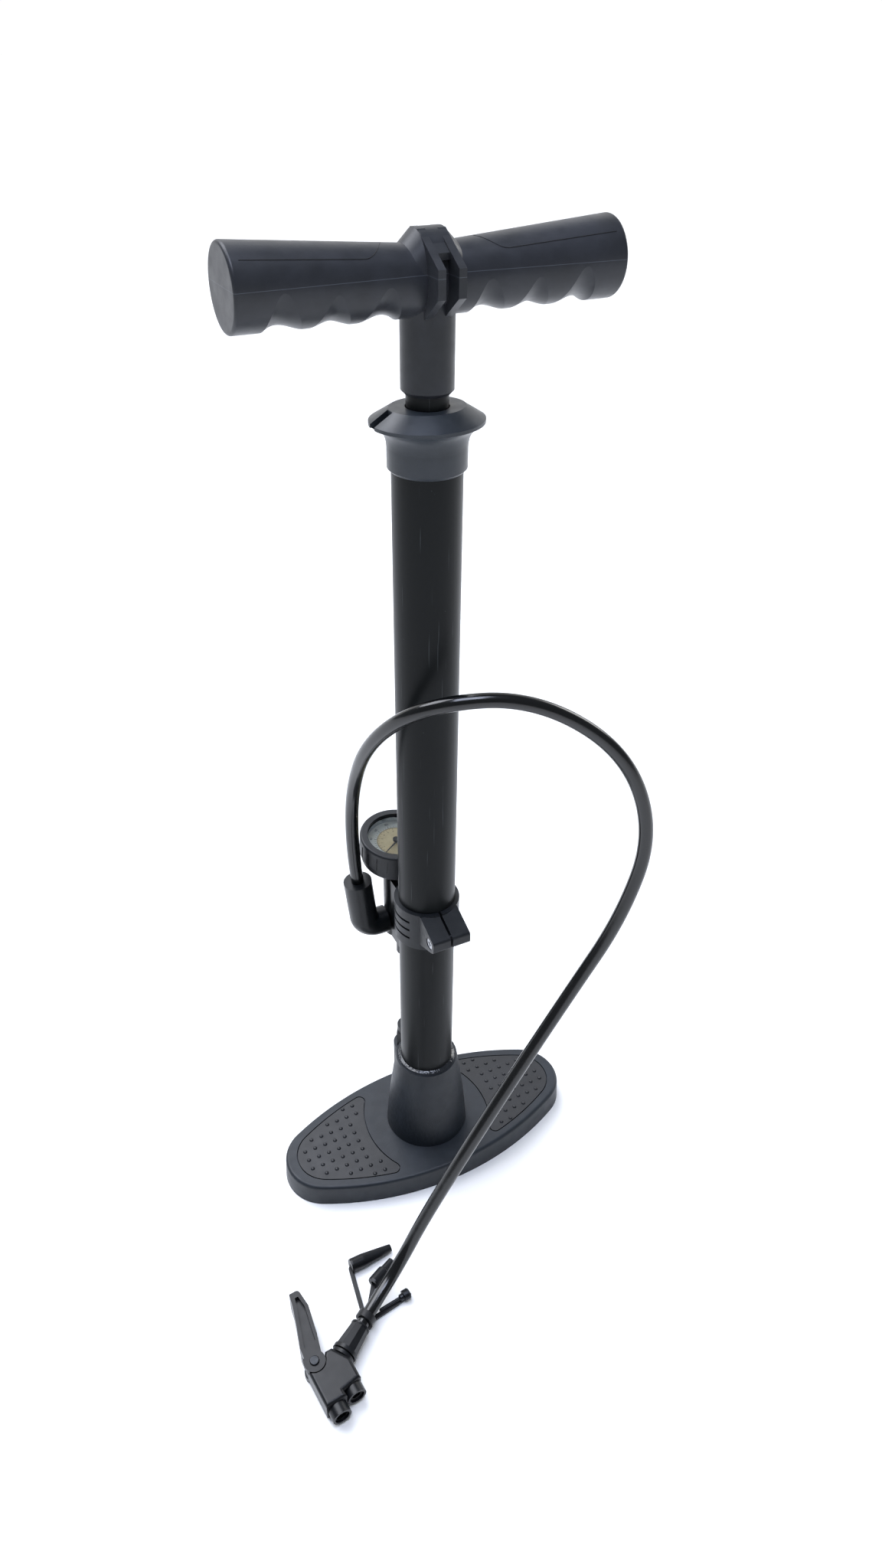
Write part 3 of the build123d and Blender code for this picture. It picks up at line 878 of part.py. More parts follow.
# ---------------------------------------------------------------- handle
with BuildPart() as handle:
    for side in (-1, 1):
        with BuildSketch(Plane.YZ) as grip_neck:
            with Locations((0, HANDLE_CENTRE_Z - GRIP_NECK_DROP)):
                Circle(GRIP_NECK_RADIUS)
        with BuildSketch(Plane.YZ.offset(side * HANDLE_HALF_LENGTH)) as grip_end:
            with Locations((0, HANDLE_CENTRE_Z)):
                Circle(GRIP_END_RADIUS)
        loft([grip_neck.sketch.face(), grip_end.sketch.face()])
    fillet(handle.edges().filter_by(GeomType.CIRCLE).group_by(Axis.X)[0], GRIP_END_FILLET)
    fillet(handle.edges().filter_by(GeomType.CIRCLE).group_by(Axis.X)[-1], GRIP_END_FILLET)
    # finger waves round the underside of each grip
    for side in (-1, 1):
        wave_plane = Plane(origin=(0, 0, HANDLE_CENTRE_Z - GRIP_NECK_DROP + WAVE_FADE),
                           x_dir=(side * HANDLE_HALF_LENGTH, 0, GRIP_NECK_DROP), z_dir=(0, -side, 0))
        wave_line = []
        for half_step in range(7):
            along = WAVE_LAST_X - half_step * WAVE_PITCH / 2
            grip_radius = GRIP_NECK_RADIUS + (GRIP_END_RADIUS - GRIP_NECK_RADIUS) * along / HANDLE_HALF_LENGTH
            sunk = WAVE_DEPTH if half_step % 2 else -FIT
            wave_line.append((along, -grip_radius - WAVE_FADE + sunk))
        with BuildSketch(wave_plane) as waves:
            with BuildLine():
                Spline(*wave_line)
                Polyline(wave_line[-1], (wave_line[-1][0], -2 * GRIP_END_RADIUS),
                         (WAVE_LAST_X, -2 * GRIP_END_RADIUS), wave_line[0])
            make_face()
        revolve(waves.sketch, axis=Axis(wave_plane.origin, wave_plane.x_dir), mode=Mode.SUBTRACT)
    # stem, then the boss with its shoulders
    disc(STEM_RADIUS, STEM_FOOT_Z, HANDLE_CENTRE_Z - GRIP_NECK_DROP)
    chamfer(handle.faces().sort_by(Axis.Z)[0].edges(), 2)
    with BuildSketch(Plane.YZ.offset(-BOSS_HALF_WIDTH)) as boss:
        with Locations((0, HANDLE_CENTRE_Z)):
            Ellipse(BOSS_HALF_DEPTH, HANDLE_RISE)
    extrude(boss.sketch, amount=2 * BOSS_HALF_WIDTH)
    for side in (-1, 1):
        with BuildSketch(Plane.YZ.offset(side * BOSS_HALF_WIDTH)) as shoulder_top:
            with Locations((0, HANDLE_CENTRE_Z)):
                Ellipse(BOSS_HALF_DEPTH, HANDLE_RISE)
        with BuildSketch(Plane.YZ.offset(side * (BOSS_HALF_WIDTH + SHOULDER))) as shoulder_foot:
            with Locations((0, HANDLE_CENTRE_Z - GRIP_NECK_DROP)):
                Ellipse(GRIP_NECK_RADIUS - 1, GRIP_NECK_RADIUS - 0.5)
        loft([shoulder_top.sketch.face(), shoulder_foot.sketch.face()])
    # two clip ribs for the hose and the web between them
    rib_top = (HANDLE_TOP_Z - 0.4, HANDLE_CENTRE_Z + CLIP_HIGH)
    for side in (-1, 1):
        with BuildSketch(Plane.YZ.offset(side * (CLIP_GAP + CLIP_RIB) / 2 - CLIP_RIB / 2)) as rib:
            with BuildLine():
                Polyline((4, rib_top[0]), (-4, rib_top[0]), (-CLIP_REACH, rib_top[1]),
                         (-CLIP_REACH, HANDLE_CENTRE_Z + CLIP_LOW),
                         (4 - BOSS_HALF_DEPTH, HANDLE_CENTRE_Z + CLIP_ROOT),
                         (4, HANDLE_CENTRE_Z + CLIP_ROOT), close=True)
            make_face()
        extrude(rib.sketch, amount=CLIP_RIB)
    web_share = (CLIP_WEB_REACH - 4) / (CLIP_REACH - 4)
    web_front_z = rib_top[0] + web_share * (rib_top[1] - rib_top[0]) - CLIP_WEB_SINK
    with BuildSketch(Plane.YZ.offset(-CLIP_GAP / 2)) as web:
        with BuildLine():
            Polyline((3, rib_top[0] - CLIP_WEB_SINK), (-4, rib_top[0] - CLIP_WEB_SINK),
                     (-CLIP_WEB_REACH, web_front_z), (-CLIP_WEB_REACH, web_front_z - 3), (3, HANDLE_CENTRE_Z),
                     close=True)
        make_face()
    extrude(web.sketch, amount=CLIP_GAP)
    disc(ROD_RADIUS + FIT, STEM_FOOT_Z - 1, ROD_TOP_Z, mode=Mode.SUBTRACT)
save(handle, "handle")

with BuildPart() as handle_screw:
    disc(HANDLE_SCREW_RADIUS - FIT, ROD_TOP_Z - HANDLE_SCREW_LENGTH, ROD_TOP_Z)
save(handle_screw, "handle_screw")
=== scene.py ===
"""Floor bike pump: looks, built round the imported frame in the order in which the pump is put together."""
import bpy
from math import cos, hypot, pi, radians, sin
from mathutils import Matrix, Vector


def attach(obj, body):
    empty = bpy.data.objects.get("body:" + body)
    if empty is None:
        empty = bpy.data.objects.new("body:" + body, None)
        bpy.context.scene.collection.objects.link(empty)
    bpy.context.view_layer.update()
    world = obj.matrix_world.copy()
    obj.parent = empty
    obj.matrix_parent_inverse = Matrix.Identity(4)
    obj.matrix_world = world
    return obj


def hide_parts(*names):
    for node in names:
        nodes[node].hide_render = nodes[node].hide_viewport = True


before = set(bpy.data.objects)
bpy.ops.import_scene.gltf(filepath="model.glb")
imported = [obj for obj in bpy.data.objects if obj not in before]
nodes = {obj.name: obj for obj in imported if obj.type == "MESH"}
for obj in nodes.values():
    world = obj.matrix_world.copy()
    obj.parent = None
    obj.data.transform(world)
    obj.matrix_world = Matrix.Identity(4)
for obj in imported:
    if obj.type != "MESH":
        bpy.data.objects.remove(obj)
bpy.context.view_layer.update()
MM = 0.001


# ---------------------------------------------------------------- foot plate
# The foot plate and its tower are one moulding in slate-black polypropylene, open and ribbed underneath.
# The mould is spark-eroded, which gives a fine even grain and a soft, wide highlight on the top face.
def linear(code):
    """Linear RGBA of an sRGB hex colour such as "30343a"."""
    channels = [int(code[place:place + 2], 16) / 255 for place in (0, 2, 4)]
    return [value / 12.92 if value <= 0.04045 else ((value + 0.055) / 1.055)**2.4 for value in channels] + [1]


def add_node(tree, kind, settings=None, **inputs):
    """Adds a node, sets its settings, and fills each named input with a value or a link."""
    made = tree.nodes.new(f"ShaderNode{kind}")
    for name, value in (settings or {}).items():
        setattr(made, name, value)
    for name, value in inputs.items():
        socket = made.inputs[name.replace("_", " ")]
        if isinstance(value, bpy.types.NodeSocket):
            tree.links.new(value, socket)
        else:
            socket.default_value = value
    return made


def start_material(name):
    """An empty material, its tree, its shader and the object's own coordinates in metres."""
    material = bpy.data.materials.new(name)
    material.use_nodes = True
    tree = material.node_tree
    shader = tree.nodes["Principled BSDF"]
    place = add_node(tree, "TexCoord").outputs["Object"]
    return material, tree, shader, place


def moulded(name, colour, dusty, roughness, grain, depth, mottle=0.035, specular=0.3, spread=0.05):
    """Moulded plastic or rubber: a grain of its real size, cloudy colour from handling, and uneven gloss."""
    material, tree, shader, place = start_material(name)
    clouds = add_node(tree, "TexNoise", Vector=place, Scale=1 / mottle, Detail=4, Roughness=0.6)
    tone = add_node(tree, "MapRange", Value=clouds.outputs["Fac"], From_Min=0.38, From_Max=0.68)
    blend = add_node(tree, "Mix", {"data_type": "RGBA"}, Factor=tone.outputs["Result"])
    blend.inputs["A"].default_value = linear(colour)
    blend.inputs["B"].default_value = linear(dusty)
    tree.links.new(blend.outputs["Result"], shader.inputs["Base Color"])
    rubbed = add_node(tree, "TexNoise", Vector=place, Scale=5 / mottle, Detail=3)
    gloss = add_node(tree, "MapRange", Value=rubbed.outputs["Fac"], From_Min=0.3, From_Max=0.7,
                     To_Min=roughness - spread, To_Max=roughness + spread)
    tree.links.new(gloss.outputs["Result"], shader.inputs["Roughness"])
    pits = add_node(tree, "TexNoise", Vector=place, Scale=1 / grain, Detail=2, Roughness=0.55)
    relief = add_node(tree, "Bump", Height=pits.outputs["Fac"], Strength=1.0, Distance=depth)
    tree.links.new(relief.outputs["Normal"], shader.inputs["Normal"])
    shader.inputs["Specular IOR Level"].default_value = specular
    shader.inputs["IOR"].default_value = 1.49
    return material


def finish_nodes(material, *names):
    """Gives CAD nodes their material."""
    for name in names:
        mesh = nodes[name].data
        mesh.materials.clear()
        mesh.materials.append(material)


# Polypropylene, spark-eroded: the real pits are 0.15 mm, drawn at 0.7 mm so that they show at this distance.
plate_plastic = moulded("polypropylene_spark_eroded", "161b21", "1f252c", 0.46, 0.7 * MM, 0.05 * MM,
                        specular=0.36)
finish_nodes(plate_plastic, "base_plate")

# ---------------------------------------------------------------- foot pads
# Two thermoplastic rubber pads, dropped into the plate and glued. Domed studs stand up from them in rows.
# The rubber is darker and duller than the plate, with a dry, slightly chalky skin.
pad_rubber = moulded("thermoplastic_rubber_matt", "121417", "1a1c20", 0.44, 0.8 * MM, 0.03 * MM,
                     specular=0.42)
finish_nodes(pad_rubber, "foot_pads")


# ---------------------------------------------------------------- screws under the plate
# Three pan-head steel screws hold the barrel's plug through the plate, and their heads sit in pockets.
# Zinc-plated and passivated: a greyish white metal with faint clouding.
def bare_metal(name, colour, shade, roughness, cloud, grit):
    """A plated or turned metal with faint clouding and fine tool marks."""
    material, tree, shader, place = start_material(name)
    clouds = add_node(tree, "TexNoise", Vector=place, Scale=1 / cloud, Detail=3)
    blend = add_node(tree, "Mix", {"data_type": "RGBA"}, Factor=clouds.outputs["Fac"])
    blend.inputs["A"].default_value = linear(colour)
    blend.inputs["B"].default_value = linear(shade)
    tree.links.new(blend.outputs["Result"], shader.inputs["Base Color"])
    gloss = add_node(tree, "MapRange", Value=clouds.outputs["Fac"], To_Min=roughness * 0.7,
                     To_Max=roughness * 1.3)
    tree.links.new(gloss.outputs["Result"], shader.inputs["Roughness"])
    marks = add_node(tree, "TexNoise", Vector=place, Scale=1 / grit, Detail=1)
    relief = add_node(tree, "Bump", Height=marks.outputs["Fac"], Strength=0.6, Distance=0.01 * MM)
    tree.links.new(relief.outputs["Normal"], shader.inputs["Normal"])
    shader.inputs["Metallic"].default_value = 1.0
    return material


zinc_plate = bare_metal("steel_zinc_plated", "b9bbbf", "8f9297", 0.32, 4 * MM, 0.5 * MM)
finish_nodes(zinc_plate, "base_screws")

# ---------------------------------------------------------------- barrel and the seals at its foot
# Drawn steel tube, 38 mm, powder-coated satin black and baked. The coat has a faint orange peel along the
# tube, a few light scuffs that run lengthwise, and specks of dust. A moulded plug closes the foot.
coat, tree, shader, place = start_material("steel_powder_coated_satin_black")
shader.inputs["Specular IOR Level"].default_value = 0.12
shader.inputs["IOR"].default_value = 1.52
smoke = add_node(tree, "TexNoise", Vector=place, Scale=1 / (70 * MM), Detail=3)
stretch = add_node(tree, "Mapping", Vector=place, Scale=(1 / (1.2 * MM), 1 / (1.2 * MM), 1 / (38 * MM)))
hairlines = add_node(tree, "TexNoise", Vector=stretch.outputs["Vector"], Scale=1.0, Detail=1)
scuffs = add_node(tree, "MapRange", Value=hairlines.outputs["Fac"], From_Min=0.70, From_Max=0.78)
specks = add_node(tree, "TexVoronoi", Vector=place, Scale=1 / (9 * MM))
dust = add_node(tree, "MapRange", Value=specks.outputs["Distance"], From_Min=0.035, From_Max=0.02)
marks = add_node(tree, "Math", {"operation": "MAXIMUM"})
tree.links.new(scuffs.outputs["Result"], marks.inputs[0])
tree.links.new(dust.outputs["Result"], marks.inputs[1])
paint = add_node(tree, "Mix", {"data_type": "RGBA"}, Factor=smoke.outputs["Fac"])
paint.inputs["A"].default_value = linear("0d0f10")
paint.inputs["B"].default_value = linear("151819")
marked = add_node(tree, "Mix", {"data_type": "RGBA"}, Factor=marks.outputs["Value"])
tree.links.new(paint.outputs["Result"], marked.inputs["A"])
marked.inputs["B"].default_value = linear("303335")
tree.links.new(marked.outputs["Result"], shader.inputs["Base Color"])
sheen = add_node(tree, "MapRange", Value=smoke.outputs["Fac"], To_Min=0.30, To_Max=0.42)
tree.links.new(sheen.outputs["Result"], shader.inputs["Roughness"])
peel = add_node(tree, "TexNoise", Vector=place, Scale=1 / (1.6 * MM), Detail=1)
skin = add_node(tree, "Bump", Height=peel.outputs["Fac"], Strength=0.5, Distance=0.03 * MM)
tree.links.new(skin.outputs["Normal"], shader.inputs["Normal"])
finish_nodes(coat, "barrel")

# Acetal and nitrile inside the barrel: hidden, so plain even finishes.
acetal = moulded("acetal_moulded_black", "101113", "17191b", 0.42, 0.8 * MM, 0.02 * MM)
nitrile = moulded("nitrile_rubber_moulded", "0b0b0c", "131415", 0.5, 0.7 * MM, 0.02 * MM)
finish_nodes(acetal, "barrel_plug", "rod_bush", "piston_head", "rod_plug")
finish_nodes(nitrile, "plug_seal", "piston_seal", "check_disc", "top_buffer")

# ---------------------------------------------------------------- adhesive bead
# Clear construction adhesive squeezed out where the barrel enters the tower, wiped off unevenly.
# It sets glassy, so the black below shows through and its edge catches the light.
bead, tree, shader, place = start_material("clear_adhesive_cured")
ripple = add_node(tree, "TexNoise", Vector=place, Scale=1 / (3 * MM), Detail=2)
wave = add_node(tree, "Bump", Height=ripple.outputs["Fac"], Strength=1.0, Distance=0.6 * MM)
tree.links.new(wave.outputs["Normal"], shader.inputs["Normal"])
shader.inputs["Base Color"].default_value = linear("24272b")
shader.inputs["Roughness"].default_value = 0.08
shader.inputs["IOR"].default_value = 1.5
finish_nodes(bead, "sealant_bead")

# ---------------------------------------------------------------- outlet, air pipe and clamp
# The outlet nut, the union and the clamp round the barrel are moulded in black nylon with a dry, satin face.
# A thin zinc-plated pipe runs up behind the barrel. The clamp's screw has a cross recess.
nylon = moulded("nylon_moulded_satin", "14171a", "1e2125", 0.40, 0.5 * MM, 0.02 * MM, mottle=0.02)
finish_nodes(nylon, "outlet_nut", "pipe_union", "clamp_band")
finish_nodes(zinc_plate, "air_pipe", "clamp_screw", "clamp_nut")
brass = bare_metal("brass_turned", "b8904c", "8d6a33", 0.28, 5 * MM, 0.4 * MM)
finish_nodes(brass, "valve_seat")

# ---------------------------------------------------------------- manifold and elbow
# The manifold block carries the gauge and passes air to the elbow, where the hose is pressed on.
# Both are nylon, a little glossier than the clamp because their mould is polished.
polished_nylon = moulded("nylon_moulded_polished", "0a0c0e", "121518", 0.33, 0.5 * MM, 0.006 * MM,
                         mottle=0.04, spread=0.03)
finish_nodes(polished_nylon, "manifold", "hose_elbow")

# ---------------------------------------------------------------- gauge housing and movement
# A cup screwed on a brass stem and a bezel pressed over it, both ABS. The curved brass spring tube and the
# arbor sit below the dial. A bright ring fills the gap between the dial and the clear window.
bezel_abs = moulded("abs_moulded_fine_matt", "17191c", "202327", 0.42, 0.5 * MM, 0.02 * MM, mottle=0.02)
finish_nodes(bezel_abs, "gauge_cup", "gauge_bezel")
finish_nodes(brass, "bourdon_tube", "gauge_stem")
chrome = bare_metal("chromed_trim_ring", "d9dce0", "b9bdc3", 0.12, 3 * MM, 0.8 * MM)
finish_nodes(chrome, "reflector_ring")

window, tree, shader, place = start_material("clear_polycarbonate_window")
haze = add_node(tree, "TexNoise", Vector=place, Scale=1 / (12 * MM), Detail=3)
film = add_node(tree, "MapRange", Value=haze.outputs["Fac"], To_Min=0.0, To_Max=0.03)
tree.links.new(film.outputs["Result"], shader.inputs["Roughness"])
shader.inputs["Base Color"].default_value = linear("f2f5f5")
shader.inputs["Transmission Weight"].default_value = 1.0
shader.inputs["IOR"].default_value = 1.58
finish_nodes(window, "gauge_lens")

# ---------------------------------------------------------------- dial and needle
# A printed tin disc: pale grey outside for the pressure scale to 160, cream inside for the scale to 11, with
# two thin rings between them. The figures and strokes are black ink, and zero is at the lower left.
GAUGE_CENTRE = Vector((0, 49, 266)) * MM
GAUGE_TILT = radians(7)
DIAL_DEPTH = 8.2 * MM
INK = 0.06 * MM
BAND_RADIUS = 13.4 * MM
ZERO_ANGLE = radians(-146)
SWEEP = radians(250)
PSI_STROKES = 32
PSI_FIGURES = 8
PSI_PER_FIGURE = 20
PSI_STROKE_RADIUS = 14.6 * MM
PSI_FIGURE_RADIUS = 17.4 * MM
PSI_FIGURE_HEIGHT = 2.6 * MM
BAR_STROKES = 22
BAR_FIGURES = 11
BAR_STROKE_RADIUS = 12.0 * MM
BAR_FIGURE_RADIUS = 9.9 * MM
BAR_FIGURE_HEIGHT = 1.9 * MM
INNER_BAND_RADIUS = 12.9 * MM
BAND_HALF_WIDTH = 0.09 * MM
gauge_frame = Matrix.Translation(GAUGE_CENTRE) @ Matrix.Rotation(GAUGE_TILT, 4, "X")

dial_tin, tree, shader, place = start_material("tinplate_printed_dial")
centred = add_node(tree, "Mapping", Vector=place, Location=-GAUGE_CENTRE)
reach = add_node(tree, "VectorMath", {"operation": "LENGTH"})
tree.links.new(centred.outputs["Vector"], reach.inputs[0])
zone = add_node(tree, "Math", {"operation": "GREATER_THAN"})
tree.links.new(reach.outputs["Value"], zone.inputs[0])
zone.inputs[1].default_value = hypot(BAND_RADIUS, DIAL_DEPTH)
print_colour = add_node(tree, "Mix", {"data_type": "RGBA"}, Factor=zone.outputs["Value"])
print_colour.inputs["A"].default_value = linear("c9b78f")
print_colour.inputs["B"].default_value = linear("c3c5be")
age = add_node(tree, "TexNoise", Vector=place, Scale=1 / (6 * MM), Detail=4)
foxing = add_node(tree, "MapRange", Value=age.outputs["Fac"], From_Min=0.4, From_Max=0.75, To_Max=0.25)
aged = add_node(tree, "Mix", {"data_type": "RGBA"}, Factor=foxing.outputs["Result"])
tree.links.new(print_colour.outputs["Result"], aged.inputs["A"])
aged.inputs["B"].default_value = linear("8f8468")
tree.links.new(aged.outputs["Result"], shader.inputs["Base Color"])
shader.inputs["Roughness"].default_value = 0.45
finish_nodes(dial_tin, "dial_plate")

ink, tree, shader, place = start_material("printing_ink_black")
fade = add_node(tree, "TexNoise", Vector=place, Scale=1 / (2 * MM))
worn = add_node(tree, "Mix", {"data_type": "RGBA"}, Factor=fade.outputs["Fac"])
worn.inputs["A"].default_value = linear("1c1c1c")
worn.inputs["B"].default_value = linear("3a3833")
tree.links.new(worn.outputs["Result"], shader.inputs["Base Color"])
shader.inputs["Roughness"].default_value = 0.5


def on_dial(radius, angle, turn):
    """Place on the dial's face at a radius and an angle, with a part's own turn in the face."""
    level = Matrix.Translation((radius * cos(angle), radius * sin(angle), -DIAL_DEPTH))
    return gauge_frame @ level @ Matrix.Rotation(turn, 4, "Z")


def join_pieces(pieces, name):
    """Joins pieces into one object at the origin whose place is in its mesh."""
    bpy.ops.object.select_all(action="DESELECT")
    for piece in pieces:
        piece.select_set(True)
    bpy.context.view_layer.objects.active = pieces[0]
    if len(pieces) > 1:
        bpy.ops.object.join()
    bpy.ops.object.transform_apply(location=True, rotation=True, scale=True)
    joined = bpy.context.object
    joined.name = name
    joined.data.name = name
    return joined


def stroke(radius, angle, length, width):
    """One printed stroke, pointing outwards."""
    bpy.ops.mesh.primitive_cube_add(size=1)
    made = bpy.context.object
    made.matrix_world = on_dial(radius, angle, angle) @ Matrix.Diagonal((length, width, INK, 1))
    return made


def figure(text, radius, angle, height):
    """One printed figure, upright along its radius."""
    bpy.ops.object.text_add()
    made = bpy.context.object
    made.data.body = text
    made.data.size = height
    made.data.align_x = "CENTER"
    made.data.align_y = "CENTER"
    made.data.extrude = INK / 2
    made.data.resolution_u = 3
    bpy.ops.object.convert(target="MESH")
    made = bpy.context.object
    made.matrix_world = on_dial(radius, angle, angle - pi / 2)
    return made


prints = []
for count in range(PSI_STROKES + 1):
    angle = ZERO_ANGLE - SWEEP * count / PSI_STROKES
    length, width = (1.8 * MM, 0.32 * MM) if count % 4 == 0 else (1.0 * MM, 0.2 * MM)
    prints.append(stroke(PSI_STROKE_RADIUS, angle, length, width))
for count in range(PSI_FIGURES + 1):
    angle = ZERO_ANGLE - SWEEP * count / PSI_FIGURES
    prints.append(figure(str(PSI_PER_FIGURE * count), PSI_FIGURE_RADIUS, angle, PSI_FIGURE_HEIGHT))
for count in range(BAR_STROKES + 1):
    angle = ZERO_ANGLE - SWEEP * count / BAR_STROKES
    length = 1.4 * MM if count % 2 == 0 else 0.8 * MM
    prints.append(stroke(BAR_STROKE_RADIUS, angle, length, 0.18 * MM))
for count in range(BAR_FIGURES + 1):
    angle = ZERO_ANGLE - SWEEP * count / BAR_FIGURES
    prints.append(figure(str(count), BAR_FIGURE_RADIUS, angle, BAR_FIGURE_HEIGHT))
for radius in (BAND_RADIUS, INNER_BAND_RADIUS):
    bpy.ops.mesh.primitive_torus_add(major_radius=radius, minor_radius=BAND_HALF_WIDTH, major_segments=96,
                                     minor_segments=6)
    bpy.context.object.matrix_world = on_dial(0, 0, 0)
    prints.append(bpy.context.object)
dial_print = join_pieces(prints, "dial_print")
dial_print.data.materials.clear()
dial_print.data.materials.append(ink)
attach(dial_print, "root")

needle_paint = moulded("needle_lacquer_black", "17181a", "202124", 0.3, 0.5 * MM, 0.005 * MM)
finish_nodes(needle_paint, "gauge_needle")

# ---------------------------------------------------------------- hose
# Extruded black PVC hose, 9 mm across and 0.80 m long, pressed on the elbow and on the chuck's barb.
# It stands in its own arch, shines like wet liquorice, and has faint draw lines along its length.
HOSE_DIAMETER = 9 * MM
HOSE_ROUTE = [
    (-30.5, 49, 234), (-33.5, 49, 264), (-35, 40, 322), (-37, 2, 382), (-18, -38, 423),
    (39, -56, 423), (91, -77, 385), (108, -92, 329), (91, -94, 269), (59, -92, 214), (22, -95, 161),
    (-16, -99, 106), (-50, -102, 53), (-71, -107, 21), (-91, -116.6, 9.4), (-111.8, -131.3, 9)]
route = [Vector(point) * MM for point in HOSE_ROUTE]
line = bpy.data.curves.new("hose_line", "CURVE")
line.dimensions = "3D"
spline = line.splines.new("NURBS")
spline.points.add(len(route) - 1)
for point, where in zip(spline.points, route):
    point.co = (*where, 1)
spline.order_u = 3
spline.use_endpoint_u = True
line.resolution_u = 14
line.bevel_depth = HOSE_DIAMETER / 2
line.bevel_resolution = 9
line.use_fill_caps = True
hose_piece = bpy.data.objects.new("hose_tube", line)
bpy.context.scene.collection.objects.link(hose_piece)

# The hose's gloss is high and its colour almost black, so it shows mostly as thin highlights.
pvc, tree, shader, place = start_material("pvc_hose_extruded_gloss")
tone = add_node(tree, "TexNoise", Vector=place, Scale=1 / (25 * MM), Detail=2)
black = add_node(tree, "Mix", {"data_type": "RGBA"}, Factor=tone.outputs["Fac"])
black.inputs["A"].default_value = linear("060708")
black.inputs["B"].default_value = linear("0d0f10")
tree.links.new(black.outputs["Result"], shader.inputs["Base Color"])
smear = add_node(tree, "MapRange", Value=tone.outputs["Fac"], To_Min=0.12, To_Max=0.24)
tree.links.new(smear.outputs["Result"], shader.inputs["Roughness"])
waver = add_node(tree, "TexNoise", Vector=place, Scale=1 / (7 * MM), Detail=1)
draw = add_node(tree, "Bump", Height=waver.outputs["Fac"], Strength=0.5, Distance=0.1 * MM)
tree.links.new(draw.outputs["Normal"], shader.inputs["Normal"])
shader.inputs["IOR"].default_value = 1.53
line.materials.append(pvc)
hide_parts("hose")
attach(hose_piece, "root")

# ---------------------------------------------------------------- chuck
# The chuck's body and lever are glass-filled nylon, semi-gloss with dry drag marks, and a steel pin joins
# them. A ribbed nut holds the hose on a brass barb. Each nozzle is lined with a rubber grommet.
chuck_nylon = moulded("nylon_glass_filled_semi_gloss", "0b0c0e", "16181b", 0.33, 0.6 * MM, 0.008 * MM,
                      mottle=0.03, spread=0.03)
finish_nodes(chuck_nylon, "chuck_body", "chuck_lever", "hose_nut")
finish_nodes(nitrile, "schrader_grommet", "presta_grommet")
finish_nodes(brass, "hose_barb")
pin_black = bare_metal("steel_pin_blackened", "3a3c3f", "28292b", 0.35, 3 * MM, 0.5 * MM)
finish_nodes(pin_black, "lever_pin")

# ---------------------------------------------------------------- adapters and strap
# A soft rubber strap with three arms is pushed over the hose and keeps the spare adapters.
# Two adapters are turned from black plastic, and the ball needle is steel.
strap_rubber = moulded("strap_rubber_soft", "0f1011", "191a1d", 0.42, 0.5 * MM, 0.015 * MM, mottle=0.01)
finish_nodes(strap_rubber, "adapter_strap")
finish_nodes(chuck_nylon, "cone_adapter", "presta_adapter")
finish_nodes(pin_black, "ball_needle")

# ---------------------------------------------------------------- cap
# The screw cap at the barrel's top is satin polypropylene, and guides the rod. Its flange flares to an oval.
# Hands polish it a little, so its top has a soft bluish sheen.
cap_plastic = moulded("polypropylene_satin_handled", "22272c", "2e3339", 0.36, 0.6 * MM, 0.02 * MM,
                      specular=0.36)
finish_nodes(cap_plastic, "barrel_cap")

# ---------------------------------------------------------------- piston and rod
# The rod is steel tube in the same powder coat as the barrel. The piston's fastenings are zinc-plated.
finish_nodes(coat, "piston_rod")
finish_nodes(zinc_plate, "piston_screw", "piston_washer", "piston_nut", "handle_screw")

# ---------------------------------------------------------------- handle
# One large moulding in satin polypropylene: two grips with finger waves below, a boss with two clip ribs for
# the hose in front, and a stem that takes the rod.
handle_plastic = moulded("polypropylene_handle_satin", "222427", "2d2f34", 0.36, 0.6 * MM, 0.02 * MM,
                         specular=0.3)
tree = handle_plastic.node_tree
shader = tree.nodes["Principled BSDF"]
SEAM_Z = 636 * MM
SEAM_HALF_WIDTH = 0.22 * MM
# The mould's parting line runs along the front and back of both grips as a fine raised seam. Its lit crest is
# a painted highlight: a narrow band of lighter grey mixed into the colour at the seam's height.
seam_place = add_node(tree, "SeparateXYZ", Vector=tree.nodes["Texture Coordinate"].outputs["Object"])
seam_offset = add_node(tree, "Math", {"operation": "SUBTRACT"})
tree.links.new(seam_place.outputs["Z"], seam_offset.inputs[0])
seam_offset.inputs[1].default_value = SEAM_Z
seam_distance = add_node(tree, "Math", {"operation": "ABSOLUTE"})
tree.links.new(seam_offset.outputs["Value"], seam_distance.inputs[0])
seam_highlight_mask = add_node(tree, "MapRange", Value=seam_distance.outputs["Value"], From_Min=SEAM_HALF_WIDTH, From_Max=0)
seam_painted_highlight = add_node(tree, "Mix", {"data_type": "RGBA"}, Factor=seam_highlight_mask.outputs["Result"])
tree.links.new(shader.inputs["Base Color"].links[0].from_socket, seam_painted_highlight.inputs["A"])
# Painted highlight: this lighter grey stands for light on the seam. It is not the plastic's own colour.
seam_painted_highlight.inputs["B"].default_value = linear("4a4e55")
tree.links.new(seam_painted_highlight.outputs["Result"], shader.inputs["Base Color"])
finish_nodes(handle_plastic, "handle")
